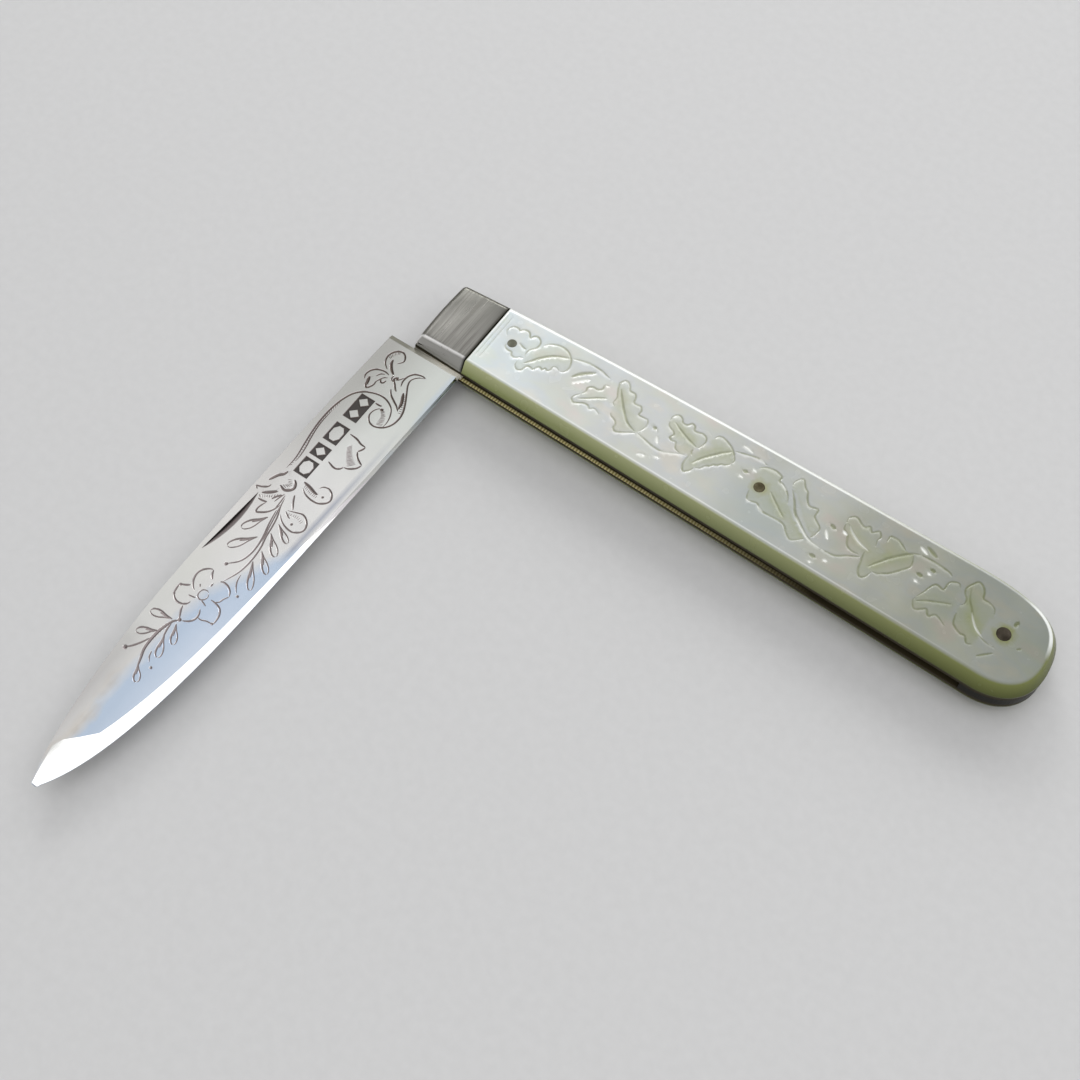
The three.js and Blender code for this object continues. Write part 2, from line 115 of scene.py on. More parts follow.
# Engraved lines on the blade, from the shoulder to the tip.
ENGRAVED_LINES = [
    # curl at the shoulder
    (FULL, [(8.35, -4.4), (7.6, -5.3), (6.5, -5.65), (5.5, -5.2), (5.1, -4.4), (5.5, -3.7), (6.2, -3.45),
            (6.95, -4)]),
    (HEAVY, [(8.55, -3.25), (8, -4), (7.3, -4.55), (6.65, -4.75)]),
    # tulip leaf that runs on into the volute
    (FULL, [(6.65, 0.45), (6.6, -0.3), (6.95, -1.15), (7.7, -1.65), (8.6, -1.72), (9.4, -1.45)]),
    (FULL, [(6.7, 0.4), (7, -0.3), (7.5, -0.8), (8.1, -1), (8.9, -0.75), (10, -0.1), (11.2, 0.6),
            (12.3, 1.1), (13.4, 1.27), (14.6, 1.05), (15.5, 0.4), (15.97, -0.6), (15.8, -1.5),
            (15, -2.12), (14.2, -2.1), (13.55, -1.65), (13.6, -1.1)]),
    (HEAVY, [(9.95, -0.6), (10.7, -0.2), (11.4, 0.15), (12.3, 0.35)]),
    (FULL, [(10.35, -2.3), (11.05, -1.75), (11.6, -0.9), (12, -0.2), (12.6, 0.5)]),
    (FULL, [(9.15, -2.75), (9.5, -2.35), (10, -1.9), (10.35, -1.45)]),
    (FULL, [(8.45, -2.45), (8.85, -2.85), (9.35, -2.7)]),
    (FINE, [(8.5, -3.15), (8.95, -3.2), (9.4, -2.95)]),
    (FINE, [(8.1, -1.85), (8.75, -2.3), (9, -2.6)]),
    # long scroll from the volute along the spine
    (FULL, [(15.6, 0.3), (14.6, 0.35), (13.5, 0.05), (12.6, -0.6), (12.05, -1.6), (11.9, -2.7),
            (12.15, -3.8), (12.7, -4.9), (13.6, -5.75), (14.9, -6.3), (16.8, -6.65), (19, -6.7),
            (21, -6.5), (23, -6.15), (25, -5.8), (26.9, -5.8)]),
    (FINE, [(17, -6.4), (19.5, -6.4), (21.5, -6.1), (23.2, -5.7), (24.6, -5.5), (25.6, -5.5)]),
    (FULL, [(13.1, -1.6), (13.15, -2.1), (13.15, -2.6)]),
    # small leaf under the scroll
    (FULL, [(8.85, -3.7), (8.72, -4.6), (9, -5.5), (9.6, -6.1), (10.4, -6.28), (11.1, -6)]),
    (FINE, [(9, -4.2), (9.35, -4.75), (9.95, -5.05)]),
    (FULL, [(9.7, -3.5), (10.25, -3.7), (10.25, -4.05), (9.85, -4.25)]),
    (FULL, [(10.35, -4.55), (11.1, -4.5), (11.7, -4.75), (11.95, -5.05), (11.5, -5.4), (10.5, -5.6)]),
    (HEAVY, [(10.4, -5.65), (11, -5.45), (11.6, -5.25)]),
    (FINE, [(9.25, -3.6), (9.6, -4.1), (10.2, -4.4), (10.8, -4.6)]),
    # ivy leaf behind the punches
    (FULL, [(18.55, -2.4), (18.65, -1.3), (18.95, -0.4), (19, 0.4)]),
    (FULL, [(19, 0.4), (19.5, 0.25), (20.05, -0.05)]),
    (FULL, [(20.05, -0.05), (20.7, 0.45), (21.1, 1.1), (21.3, 1.6)]),
    (FULL, [(21.3, 1.6), (22, 1.3), (22.6, 0.6), (22.8, -0.05)]),
    (FULL, [(22.75, -0.05), (23.3, -0.4), (23.5, -1.1), (23.2, -2.15)]),
    # curls beside the leaf knob
    (FULL, [(27.9, -2.35), (28.4, -1.6), (28.65, -0.5), (28.5, 0.6), (27.9, 1.35), (27.2, 1.5), (26.5, 1),
            (26.2, 0.25), (26.45, -0.4), (26.85, -0.65)]),
    (HEAVY, [(27.15, -2.75), (27.35, -1.7), (27.6, -0.8), (27.65, -0.25)]),
    (FULL, [(29.2, -2.55), (30.1, -2.05), (31.05, -1.35)]),
    (FULL, [(31.4, -1.9), (31.05, -0.9), (30.8, -0.1), (31, 0.6), (31.6, 1.25), (32.35, 1.45), (33, 1.1),
            (33.4, 0.3), (33.3, -0.7), (32.9, -1.6), (32.3, -2.3)]),
    (FINE, [(31.6, -2), (32, -1.35), (32.15, -0.9)]),
    # leaf knob
    (HEAVY, [(27.55, -3.9), (28, -3.4), (28.55, -3.2), (29.1, -3.5), (29.4, -4.1), (29.15, -4.9)]),
    (HEAVY, [(27.1, -5.3), (27.7, -5.5), (28.2, -5.95), (28.8, -6.25), (29.4, -6.5)]),
    (FULL, [(29.7, -5.8), (30.2, -6), (30.6, -6.6), (30.85, -7.2), (31.2, -6.8)]),
    (HEAVY, [(30, -4.55), (30.6, -5.2), (31.2, -6)]),
    (FULL, [(30.1, -3.8), (30.8, -4.3), (31.3, -4.5)]),
    (FULL, [(31.3, -3.1), (32.2, -3.35), (33, -3.85), (33.5, -4.5), (33.65, -4.95), (33, -5.08),
            (31.95, -4.75)]),
    (FULL, [(31.9, -4.65), (32.05, -5.3), (32.1, -5.95)]),
    # stem of the spray
    (FULL, [(30.2, -3.25), (31.4, -2.95), (32.8, -2.35), (34.2, -2), (35.6, -1.75), (37, -1.35),
            (38.4, -1.15), (40, -1.15), (41.4, -1.4), (43.2, -2.1)]),
    (FULL, [(32, -3.05), (34, -2.6), (36, -2), (37.6, -1.75), (39, -1.85), (40.1, -2.3), (41.15, -3.3)]),
    (FINE, [(31, -3.1), (33, -2.6), (35, -2.1), (36.6, -1.7)]),
    (FINE, [(29.9, -3.45), (31, -3.35), (32.3, -3.3)]),
    (FINE, [(29.8, -3.6), (30.6, -3.85), (31.4, -4)]),
    (FINE, [(41.2, -0.95), (42.2, -0.7), (43, -0.2), (43.5, 0.25)]),
    # flower of five petals
    (FULL, [(44.3, -0.15), (43.7, -0.55), (43.3, -1.2), (43.2, -1.9), (43.4, -2.35)]),
    (FINE, [(44.3, -0.15), (44.9, -0.5), (45.5, -0.7), (45.8, -1.1)]),
    (FULL, [(44.05, -2.85), (44.5, -2.85)]),
    (FULL, [(45.8, -1.7), (45.85, -0.9), (46.1, -0.1), (46.7, 0.4), (47.4, 0.58), (48.1, 0.6)]),
    (FINE, [(48.1, 0.5), (48.2, -0.3), (48.45, -1), (48.4, -1.5)]),
    (FULL, [(47.4, -1.95), (48, -1.6), (48.7, -1.55), (49.35, -1.95), (49.8, -2.7)]),
    (FULL, [(49.8, -3.1), (49.3, -3.4), (48.7, -3.75), (48.2, -3.9)]),
    (FULL, [(47.3, -3.5), (47.85, -3.75), (48.2, -4.5), (48.1, -5.2), (47.6, -5.85)]),
    (FULL, [(47.6, -5.85), (47, -6), (46.4, -6.1)]),
    (FULL, [(46.3, -6), (46, -5.4), (45.65, -4.9)]),
    (FULL, [(43.7, -3.25), (43.2, -3.7), (42.6, -4)]),
    (FULL, [(42.6, -4), (42.8, -4.5), (43.4, -5.1), (44.1, -5.3), (44.9, -5.1), (45.6, -4.6), (46, -4.05)]),
    (FINE, [(45.3, -3.8), (44.9, -4.1)]),
    (FINE, [(46.8, -1.6), (46.6, -2.2), (46.5, -2.6)]),
    (FINE, [(46.6, -3.3), (46.75, -3.9), (46.8, -4.3)]),
    (FINE, [(45.3, -2.4), (45.15, -2.85), (45.35, -3.3), (45.85, -3.45), (46.35, -3.25), (46.5, -2.8),
            (46.3, -2.4), (45.8, -2.2), (45.3, -2.4)]),
    # fern towards the tip
    (HEAVY, [(49.9, -3), (50.6, -3.6), (52, -4), (53.5, -4.1), (54.9, -3.95), (56, -3.5), (57.2, -3)]),
    (FULL, [(50.7, -3.5), (51.6, -3.4), (52.6, -3.1)]),
    (FINE, [(54.6, -3.05), (55.3, -2.8), (55.95, -2.3)]),
    (FULL, [(53.6, -4.3), (54.6, -4.8), (55.4, -5.3), (55.95, -5.8)]),
]

# Shading: the two lines that its strokes join, and the number of strokes.
ENGRAVED_SHADES = [
    ([(15.5, -6.5), (19, -6.7), (23, -6.15), (26.4, -5.8)],
     [(16, -6.2), (19.6, -6.35), (23.3, -5.7), (26, -5.5)], 30),
    ([(13.45, -0.8), (14.2, -0.15), (15.3, 0.2)], [(13.8, -1.35), (14.5, -0.85), (15.6, -0.7)], 12),
    ([(5.2, -4.75), (5.6, -5.3), (6.5, -5.55)], [(5.7, -4.5), (6.1, -4.9), (6.8, -5.05)], 8),
    ([(10, -0.15), (11.2, 0.5), (12.6, 1.1)], [(10.5, -0.3), (11.4, 0.2), (12.7, 0.6)], 10),
    ([(19.7, -1.1), (20.8, -0.2), (21.6, 0.9)], [(20.4, -1.5), (21.6, -0.7), (22.5, 0.1)], 17),
    ([(27.8, -4.1), (28.4, -3.6), (29.1, -4)], [(28, -4.6), (28.5, -4.25), (28.9, -4.7)], 7),
    ([(27.35, -2.3), (27.7, -1.2), (27.75, -0.2)], [(27.85, -2.2), (28.2, -1.2), (28.25, -0.3)], 9),
    ([(31.5, -1.5), (31.2, -0.4), (31.5, 0.6)], [(31.95, -1.3), (31.75, -0.3), (32.05, 0.4)], 8),
    ([(30.2, -4.3), (31, -5.2), (31.6, -6.2)], [(30.9, -4.2), (31.5, -5), (31.9, -5.7)], 8),
    ([(50.4, -3.6), (52, -4), (53.6, -4.1)], [(50.9, -3.4), (52.3, -3.7), (54, -3.85)], 9),
]

# Leaves of the sprays: base, tip and half width.
ENGRAVED_LEAVES = [
    ((33.45, -1.6), (34.95, 1), 0.32),
    ((34.9, -1.6), (37.15, 0.95), 0.42),
    ((37.4, -0.95), (39.55, 1.6), 0.36),
    ((39, -0.95), (42.3, 1.3), 0.38),
    ((33.4, -3.2), (36.4, -5), 0.5),
    ((36.2, -2.5), (39.25, -4.8), 0.5),
    ((50.4, -3), (52.7, -1.5), 0.38),
    ((52.2, -3.2), (54.95, -1.9), 0.42),
    ((56.7, -3.25), (58.6, -1.85), 0.38),
    ((50.25, -3.7), (50.85, -6.6), 0.45),
    ((52.3, -4.1), (53.75, -6.3), 0.42),
]
LEAF_SIDE = [(0, 0), (0.3, 0.3), (0.55, 0.85), (0.75, 1), (0.92, 0.7), (1, 0)]
LEAF_SHADE = [(0.05, 0), (0.3, 0.1), (0.6, 0.45)]

# Engraved dots: place and radius.
ENGRAVED_DOTS = [
    ((8.7, -2.55), 0.2), ((9.2, -2.75), 0.22), ((13.5, -1.3), 0.25), ((27.55, 0.45), 0.2),
    ((32.6, -0.3), 0.22), ((41.15, -3.3), 0.28), ((43.7, 0.6), 0.22), ((48.1, 0.45), 0.2),
    ((46.3, -5.95), 0.22), ((47.6, -5.8), 0.18), ((49.85, -3), 0.28), ((56.3, -1.7), 0.22),
    ((56.05, -5.9), 0.33),
]
DOT_SIDES = 10

# Plain punched panels with blank bosses: nearest and farthest distance, number of bosses and of their sides.
PUNCHES = [(12.95, 16.95, 2, 4), (18, 20.95, 1, 8), (21.65, 23.6, 1, 4), (24.1, 26.7, 1, 8)]
PUNCH_SIDES = (-2.75, -4.9)

# Oak leaves on the pearl: how green, half width of the rib, rib, and the outline in order round the leaf.
OAK_LEAVES = [
    (0.15, CARVER_LINE, [(-31.7, 1.2), (-31, 0.9), (-30.3, 0.8)], [
        [(-33.55, 1.15), (-33.95, 1.6), (-34.05, 2.15), (-33.65, 2.8), (-33, 2.9), (-32.65, 2.7),
         (-32.45, 3.05), (-31.9, 3.25), (-31.4, 3.1), (-31, 2.6), (-30.6, 3.1), (-30.1, 3.2),
         (-29.55, 2.85), (-29.35, 2.3), (-29.45, 1.7), (-29.95, 1), (-30.05, 0.3), (-29.85, -0.4)],
        [(-29.85, -0.4), (-30.4, -0.6), (-30.85, -1), (-31.45, -0.95), (-31.7, -0.55), (-32.3, -0.55),
         (-32.85, -0.3), (-32.95, 0.2)],
    ]),
    (0.45, CARVER_RIB, [(-29.5, -1.15), (-28.9, -0.3), (-28.3, 0.6), (-27.3, 1.7), (-26.3, 2.35),
                        (-25, 2.9)], [
        [(-28.9, 2.45), (-28.45, 3.1), (-27.6, 3.6), (-26.6, 3.75), (-25.7, 3.5), (-25, 2.95),
         (-24.55, 2.3), (-24.35, 1.5), (-24.55, 0.8), (-25.1, 0.45)],
        [(-25.1, 0.45), (-25.7, 0.75), (-26.1, 0.6), (-26.15, 0), (-26.4, -0.3), (-26.8, -0.15),
         (-27, -0.55), (-27.45, -0.4), (-27.8, -0.7), (-28, -1.15), (-28.7, -1.1), (-29, -1.5),
         (-29.15, -2.1), (-29.7, -2.3), (-30.2, -1.9), (-30.3, -1.25)],
    ]),
    (0.3, CARVER_LINE, [(-21, -1.55), (-19.6, -0.55), (-18.9, 0), (-17.85, 0.6)], [
        [(-17.45, -2), (-18, -1.7), (-18.5, -1.6), (-18.9, -1.95), (-19.4, -1.65), (-20, -1.7),
         (-20.6, -2.05), (-21.15, -2.3), (-21.6, -1.9), (-21.5, -1.4), (-21, -0.75)],
        [(-21, -0.75), (-20.7, -0.1), (-20.8, 0.5), (-20.3, 0.95), (-19.6, 1), (-19.15, 1.4), (-19.2, 2),
         (-18.6, 2.3)],
    ]),
    (0.6, CARVER_RIB, [(-17.35, 2.8), (-16.45, 1.65), (-15.15, 0.15), (-13.85, -1), (-12.45, -1.55)], [
        [(-16.55, 0.1), (-16.95, 0.45), (-17, 1.3), (-17.35, 2), (-17.7, 2.75), (-17.85, 3.45),
         (-17.45, 4.1), (-16.95, 4), (-16.55, 3.65), (-16.2, 3.15), (-15.45, 3.1), (-15.05, 2.65),
         (-14.85, 1.95), (-14.3, 1.9), (-13.85, 1.95), (-13.45, 1.45), (-13.4, 0.8), (-12.7, 0.8),
         (-12.15, 0.8), (-11.8, 0.3), (-11.85, -0.55), (-12.2, -1.45)],
        [(-12.35, -1.6), (-13, -2), (-13.85, -2.55), (-14.55, -2.85), (-15, -2.55), (-15.05, -2),
         (-15.45, -1.55), (-16.2, -1.25), (-16.45, -0.85)],
    ]),
    (0.85, CARVER_LINE, [(-9.2, 2.5), (-7.85, 1.85), (-6.45, 1.3), (-5, 0.85)], [
        [(-6.3, -1), (-7.15, -0.7), (-7.6, 0.1), (-8.15, 0), (-8.55, 0.3), (-8.35, 0.85), (-8.7, 1.25),
         (-9.45, 1.6), (-9.75, 2.2)],
        [(-9.75, 2.2), (-9.8, 3.05), (-9.3, 3.6), (-8.7, 3.4), (-8.3, 2.95), (-7.7, 3), (-7.3, 3.5),
         (-6.8, 3.3), (-6.55, 2.8), (-6, 2.85), (-5.45, 3), (-4.85, 2.75), (-4.55, 2.15), (-4.7, 1.3),
         (-4.95, 0.85)],
        [(-5.3, 0.5), (-5.25, 0), (-4.95, -0.5)],
    ]),
    (0.9, CARVER_RIB, [(-4.45, -1.4), (-3.85, -0.15), (-3, 1), (-2, 2.15), (-1, 3.1)], [
        [(-3.95, 3.1), (-3.75, 3.7), (-3.3, 3.95), (-2.7, 3.85), (-1.85, 3.5), (-1.15, 3), (-0.7, 2.5),
         (-0.3, 1.85), (-0.4, 1.3)],
        [(-0.4, 1.3), (-0.9, 0.8), (-1.4, 0.6), (-1.7, 0.2), (-2.15, 0), (-2.4, -0.4), (-2.85, -0.7),
         (-3.2, -1.3), (-3.8, -1.7)],
        [(-3.8, -1.7), (-4.15, -2.4), (-4.7, -2.85), (-5.15, -2.3), (-5.3, -1.7), (-5.25, -0.3)],
    ]),
    (0.9, CARVER_LINE, [(8.6, -1.5), (7.3, -0.6), (6.2, 0.2), (5.4, 0.8)], [
        [(2.65, 2.8), (3, 3.1), (3.45, 3.4), (4.45, 3.6), (5.2, 3.45), (5.6, 3.2), (5.6, 2.6),
         (6.15, 2.45), (7, 1.9), (7.55, 1.3), (8, 0.4)],
        [(12, -2.5), (10.7, -3.5), (9.85, -3.05), (8.7, -2.15), (5.9, -2.15), (4.9, -1.55), (3.85, -1.85),
         (3.45, -1.4), (3.2, -0.4)],
    ]),
    (0.6, CARVER_RIB, [(7.4, 2.6), (8.45, 1.3), (9.3, 0), (10.3, -0.85), (11.7, -1.85), (12.7, -2.3),
                       (14.15, -2.55)], [
        [(7.2, 2.9), (7.2, 3.6), (7.6, 4.35), (8, 4.45), (8.65, 3.6), (9.15, 3.25), (9.5, 2.6),
         (9.75, 2.2), (10.3, 1.7), (11.3, 1.9), (11.5, 1.5), (11.55, 0.8), (12, 0.4), (12.6, 0),
         (12.85, -0.4), (12.75, -1.3), (12.5, -2)],
    ]),
    (0.6, CARVER_LINE, [(15.3, 2.3), (16.3, 1.45), (17.6, 0.8), (19.15, 0.45)], [
        [(18.3, -0.6), (17.4, -0.7), (16.6, -0.4), (16.2, 0.3), (15.9, 0.9), (15.2, 1.4), (15.05, 2.15)],
        [(15.05, 2.15), (14.95, 2.8), (15.05, 3.2), (15.55, 3.6), (16, 3.5), (16.45, 3.2), (17.15, 3),
         (17.6, 3.4), (18.1, 2.85), (18.5, 3.2), (18.85, 3.45), (19.3, 2.9), (19.2, 2.2), (19.45, 1.3)],
    ]),
    (0.9, CARVER_RIB, [(19.8, -1.55), (20.6, -0.25), (21.45, 1), (22.3, 2), (23.45, 3.1), (24.3, 3.5)], [
        [(18.7, 0.2), (18.7, -0.3), (18.95, -1.4), (19.15, -2.4), (19.7, -3.1), (20.3, -2.7),
         (20.55, -1.7)],
        [(20.55, -1.7), (21.2, -1.6), (21.85, -1.15), (22.2, -0.9), (22.55, -0.55), (23, 0), (23.3, 0.4),
         (24, 1.4), (23.9, 2.2), (23.6, 3)],
        [(22.6, 2.9), (22.15, 3.25), (21.3, 3.7), (20.7, 3.75), (20.2, 3.6), (20.2, 2.6)],
    ]),
    (0.5, CARVER_LINE, [(26.55, -2.15), (27.6, -1.4), (29, -0.7), (30.3, -0.1)], [
        [(30.85, -3.1), (29.4, -2.4), (28.7, -3), (28.1, -2.35), (27.6, -2.7), (26.9, -3.1), (26.3, -2.3),
         (26.35, -1.7)],
        [(26.35, -1.7), (26.85, -0.55), (27.1, 0.3), (27.6, 1.1), (28.55, 1), (28.65, 1.9), (28.9, 2.45),
         (29.7, 2.75), (30.15, 2.2)],
    ]),
    (0.85, CARVER_LINE, [(31.15, 3), (31.7, 1.6), (32.45, 0.6), (33.3, -0.7), (34.3, -1.55),
                         (35.45, -2.15), (36.85, -2.25)], [
        [(31, 0.2), (31.4, 0.75), (31.3, 1.45), (30.85, 2), (30.7, 2.75), (31.15, 3.75), (31.6, 4.25),
         (32.3, 3.9), (32.7, 3.3), (32.95, 2.6), (33.85, 2.5), (34.6, 2.1), (34.9, 1.3)],
        [(34.5, -3.3), (33.85, -3.55), (33.3, -2.85), (32.6, -2.85), (31.6, -2.3), (31.3, -1.6),
         (31.15, -0.7)],
    ]),
]

# Stems that join the leaves, the two lines along the seam, and the gouge cuts: dark gouges of painted shade,
# and white glints and the cream gleam along some ribs, which are painted highlights.
OAK_STEMS = [
    [(-24.8, 3), (-23.85, 3.35), (-22.85, 3.6), (-21.9, 3.65), (-20.85, 3.6), (-19.85, 3.35),
     (-19.15, 3.15)],
    [(-12.2, -1.5), (-10.85, -1.75), (-9.6, -2), (-8.3, -2), (-7.15, -1.5), (-6.15, -1), (-5.4, -0.85)],
    [(-1, 3.1), (0.6, 3.6), (2, 3.9), (3.4, 3.6)],
    [(14.2, -2.55), (16, -2.35), (17.1, -1.6), (18, -1.1), (18.6, -0.8)],
    [(24.3, 3.5), (26, 3.6), (28, 3.4), (28.7, 3)],
    [(35.4, -4.4), (36.1, -3.7), (37, -2.85)],
    [(38.85, -1.05), (39.4, -0.55)],
]
SEAM_LINES = (0.62, 1.2)
SEAM_LINE_SIDES = (-3.6, 4.1)
OAK_SHADED_GOUGES = [
    [(-23.4, 0.6), (-22.8, 1.5), (-22.2, 2.1), (-21.1, 3)], [(-11, 0.5), (-10.5, 0.2)],
    [(1.2, 1.45), (1.9, 1.45)], [(13.6, 1.1), (14.4, 0.7)], [(13.5, -3.8), (14.3, -3.9)],
    [(24.4, 4.95), (26.1, 4.2)],
    [(26.1, 2.55), (26.8, 2.4)], [(25, 1.2), (25.8, 1.05)], [(37.6, 2.3), (37.45, 1.4)],
]
OAK_GLINTS = [
    [(-22.95, 0), (-21.15, 1.8)], [(-10, -0.4), (-9.3, -1.4)], [(-10.7, -4), (-9.6, -3.55)],
    [(-8.7, -3.1), (-8.1, -2.85)], [(-0.6, 4.45), (0.1, 4.4), (1, 4.15)], [(2.1, 2.3), (2.6, 2.15)],
    [(1.1, 0.65), (1.6, 0.55)], [(13.45, 0.15), (14.3, -1)], [(13.8, -4.75), (14.2, -4.65)],
    [(15.1, -3.6), (15.7, -3.5)], [(15.2, 1.1), (15.9, 0.85)], [(23.7, 4.5), (25, 3.95)],
    [(26, 1.95), (26.5, 1.8)], [(25.1, 0.25), (25.6, 0.1)],
]
OAK_GLEAMS = [
    [(9.7, -0.4), (10.3, -0.95), (11.7, -1.9), (12.7, -2.35), (14.9, -2.55)],
    [(15.5, 2.2), (16.4, 1.45), (17.6, 0.8), (19, 0.45)],
    [(32.6, 0.3), (33.3, -0.65), (34.3, -1.5), (36.5, -2.2)], [(2, 4), (3, 3.7)],
    [(5.8, 2.5), (7, 1.95)],
    [(5, -1.75), (6.1, -2.2)], [(3.5, -1.8), (4.4, -1.95)], [(7.5, 4.2), (8, 4)],
    [(-8.6, -2.15), (-7.15, -1.55), (-6.15, -1.05), (-5.4, -0.85)],
]


# Lines and cuts
def spline(points, step):
    """Points about every step along a smooth curve through the given ones."""
    given = np.array(points, float)
    padded = np.vstack([2 * given[0] - given[1], given, 2 * given[-1] - given[-2]])
    out = [given[0]]
    for before, start, end, after in zip(padded, padded[1:], padded[2:], padded[3:]):
        count = max(2, math.ceil(np.linalg.norm(end - start) / step))
        t = (np.arange(1, count + 1) / count)[:, None]
        straight = 2 * start + (end - before) * t
        bend = (2 * before - 5 * start + 4 * end - after) * t**2
        twist = (3 * start - before - 3 * end + after) * t**3
        out.extend(0.5 * (straight + bend + twist))
    return np.array(out)


def cut(points, half_width, step):
    """A cut along a curve: its centre line, and its half width there, thin at both ends."""
    line = spline(points, step)
    along = np.linspace(0, 1, len(line))
    return line, half_width * (4 * along * (1 - along)) ** CUT_TAPER


def lines_beside(line, half, shares):
    """The centre line moved sideways by shares of the half width."""
    way = np.gradient(line, axis=0)
    way /= np.linalg.norm(way, axis=1)[:, None] + TINY
    side = np.stack([-way[:, 1], way[:, 0]], axis=1)
    return [line + side * (half * share)[:, None] for share in shares]


def end_guards(line):
    """A short line across each end of a cut, just beyond it, that keeps the flat around it level."""
    for end, before in ((line[0], line[1]), (line[-1], line[-2])):
        way = (end - before) / np.linalg.norm(end - before)
        side = np.array((-way[1], way[0]))
        yield np.array([end + END_GUARD * (way + share * side) for share in (-1, 0, 1)])


def cut_lines(cuts, shares):
    """The lines that a mesh follows: beside each cut at shares of its half width, and across its ends."""
    lines = [beside for line, half in cuts for beside in lines_beside(line, half, shares)]
    return lines + [guard for line, _ in cuts for guard in end_guards(line)]


def runs(line, kept):
    """The stretches of a line whose points are kept."""
    stretch = []
    for point in line:
        if kept(point):
            stretch.append(point)
            continue
        if len(stretch) > 1:
            yield np.array(stretch)
        stretch = []
    if len(stretch) > 1:
        yield np.array(stretch)


def refined(line, half, count):
    """The same cut with count times as many samples."""
    places = np.arange(len(line))
    finer = np.linspace(0, len(line) - 1, (len(line) - 1) * count + 1)
    columns = [np.interp(finer, places, column) for column in (line[:, 0], line[:, 1], half)]
    return np.stack(columns, axis=1)


class CutField:
    """How deep a set of cuts is at any point. The profile gives the depth at a share of the half width."""

    def __init__(self, cuts, depth_share, profile):
        self.samples = np.vstack([refined(line, half, SAMPLES_PER_STEP) for line, half in cuts])
        self.reach = self.samples[:, 2].max()
        self.depth_share = depth_share
        self.profile = profile
        self.tree = KDTree(len(self.samples))
        for index, (x, y, _) in enumerate(self.samples):
            self.tree.insert((x, y, 0), index)
        self.tree.balance()

    def near(self, point):
        return self.tree.find((point[0], point[1], 0))[2] < self.reach

    def depth(self, point):
        deepest = 0.0
        for _, index, away in self.tree.find_range((point[0], point[1], 0), self.reach):
            half = self.samples[index, 2]
            if away < half:
                deepest = max(deepest, self.depth_share * half * self.profile(away / half))
        return deepest if deepest > LEAST_DEPTH else 0.0


def vee(share):
    return 1 - share


def scoop(share):
    return (1 - share**2) ** 2


def spray_leaf(base, tip, half_width):
    """The two sides of an engraved leaf, the second one heavier, and the shade at its base."""
    base, tip = np.array(base), np.array(tip)
    way = tip - base
    across = np.array([-way[1], way[0]]) / np.linalg.norm(way)
    sides = []
    for sign, weight in ((1, FINE), (-1, FULL)):
        points = [base + along * way + sign * out * half_width * across for along, out in LEAF_SIDE]
        sides.append(cut(points, weight, GRAVER_STEP))
    shade = [base + along * way - out * half_width * across for along, out in LEAF_SHADE]
    return sides + [cut(shade, FULL, GRAVER_STEP)]


def shade_strokes(first, second, count):
    """Fine strokes that join two lines."""
    starts, ends = (spline(points, HATCH) for points in (first, second))
    for share in np.linspace(0, 1, count):
        start, end = (line[round(share * (len(line) - 1))] for line in (starts, ends))
        yield cut([start, end], HATCH, GRAVER_STEP)


def dot(centre, radius):
    """A round pit, as a very short cut."""
    return np.array([centre, centre], float), np.full(2, radius)


# Panels
def rectangle(low, high):
    return np.array([(low[0], low[1]), (high[0], low[1]), (high[0], high[1]), (low[0], high[1])])


def boss_outline(centre, reach, sides):
    """A boss with equal sides: a square stands on its corner, an octagon on its side."""
    angles = (np.arange(sides) + (0.5 if sides > 4 else 0)) * 2 * math.pi / sides
    return np.array(centre) + np.stack([np.cos(angles), np.sin(angles)], axis=1) * np.array(reach)


def inset(corners, distance):
    """A convex outline moved inwards."""
    after = np.roll(corners, -1, axis=0) - corners
    after /= np.linalg.norm(after, axis=1)[:, None]
    before = np.roll(after, 1, axis=0)
    turn = before[:, 0] * after[:, 1] - before[:, 1] * after[:, 0]
    return corners + distance * (after - before) / turn[:, None]


def inside_distance(corners, point):
    """How far a point lies inside a convex outline, negative outside it."""
    way = np.roll(corners, -1, axis=0) - corners
    way /= np.linalg.norm(way, axis=1)[:, None]
    out = point - corners
    return float(np.min(way[:, 0] * out[:, 1] - way[:, 1] * out[:, 0]))


class PunchField:
    """Sunk panels with blank bosses standing in them."""

    def __init__(self):
        self.panels = []
        self.bosses = []
        low, high = sorted(PUNCH_SIDES)
        middle = (low + high) / 2
        for near, far, count, sides in PUNCHES:
            self.panels.append(rectangle((near, low), (far, high)))
            pitch = (far - near) / count
            for number in range(count):
                centre = (near + (number + 0.5) * pitch, middle)
                share = PUNCH_BOSS_SHARES[sides]
                reach = (share * pitch / 2, share * (high - low) / 2)
                self.bosses.append(boss_outline(centre, reach, sides))

    def loops(self):
        for outline in self.panels + self.bosses:
            yield outline
            yield inset(outline, PUNCH_WALL)

    def holds(self, point):
        return any(inside_distance(panel, point) > -PUNCH_WALL for panel in self.panels)

    def depth(self, point):
        sunk = max(inside_distance(panel, point) for panel in self.panels)
        raised = max(inside_distance(boss, point) for boss in self.bosses)
        floor = PUNCH_DEPTH * min(max(sunk / PUNCH_WALL, 0), 1)
        return floor - PUNCH_DEPTH * min(max(raised / PUNCH_WALL, 0), 1) if raised > 0 else floor


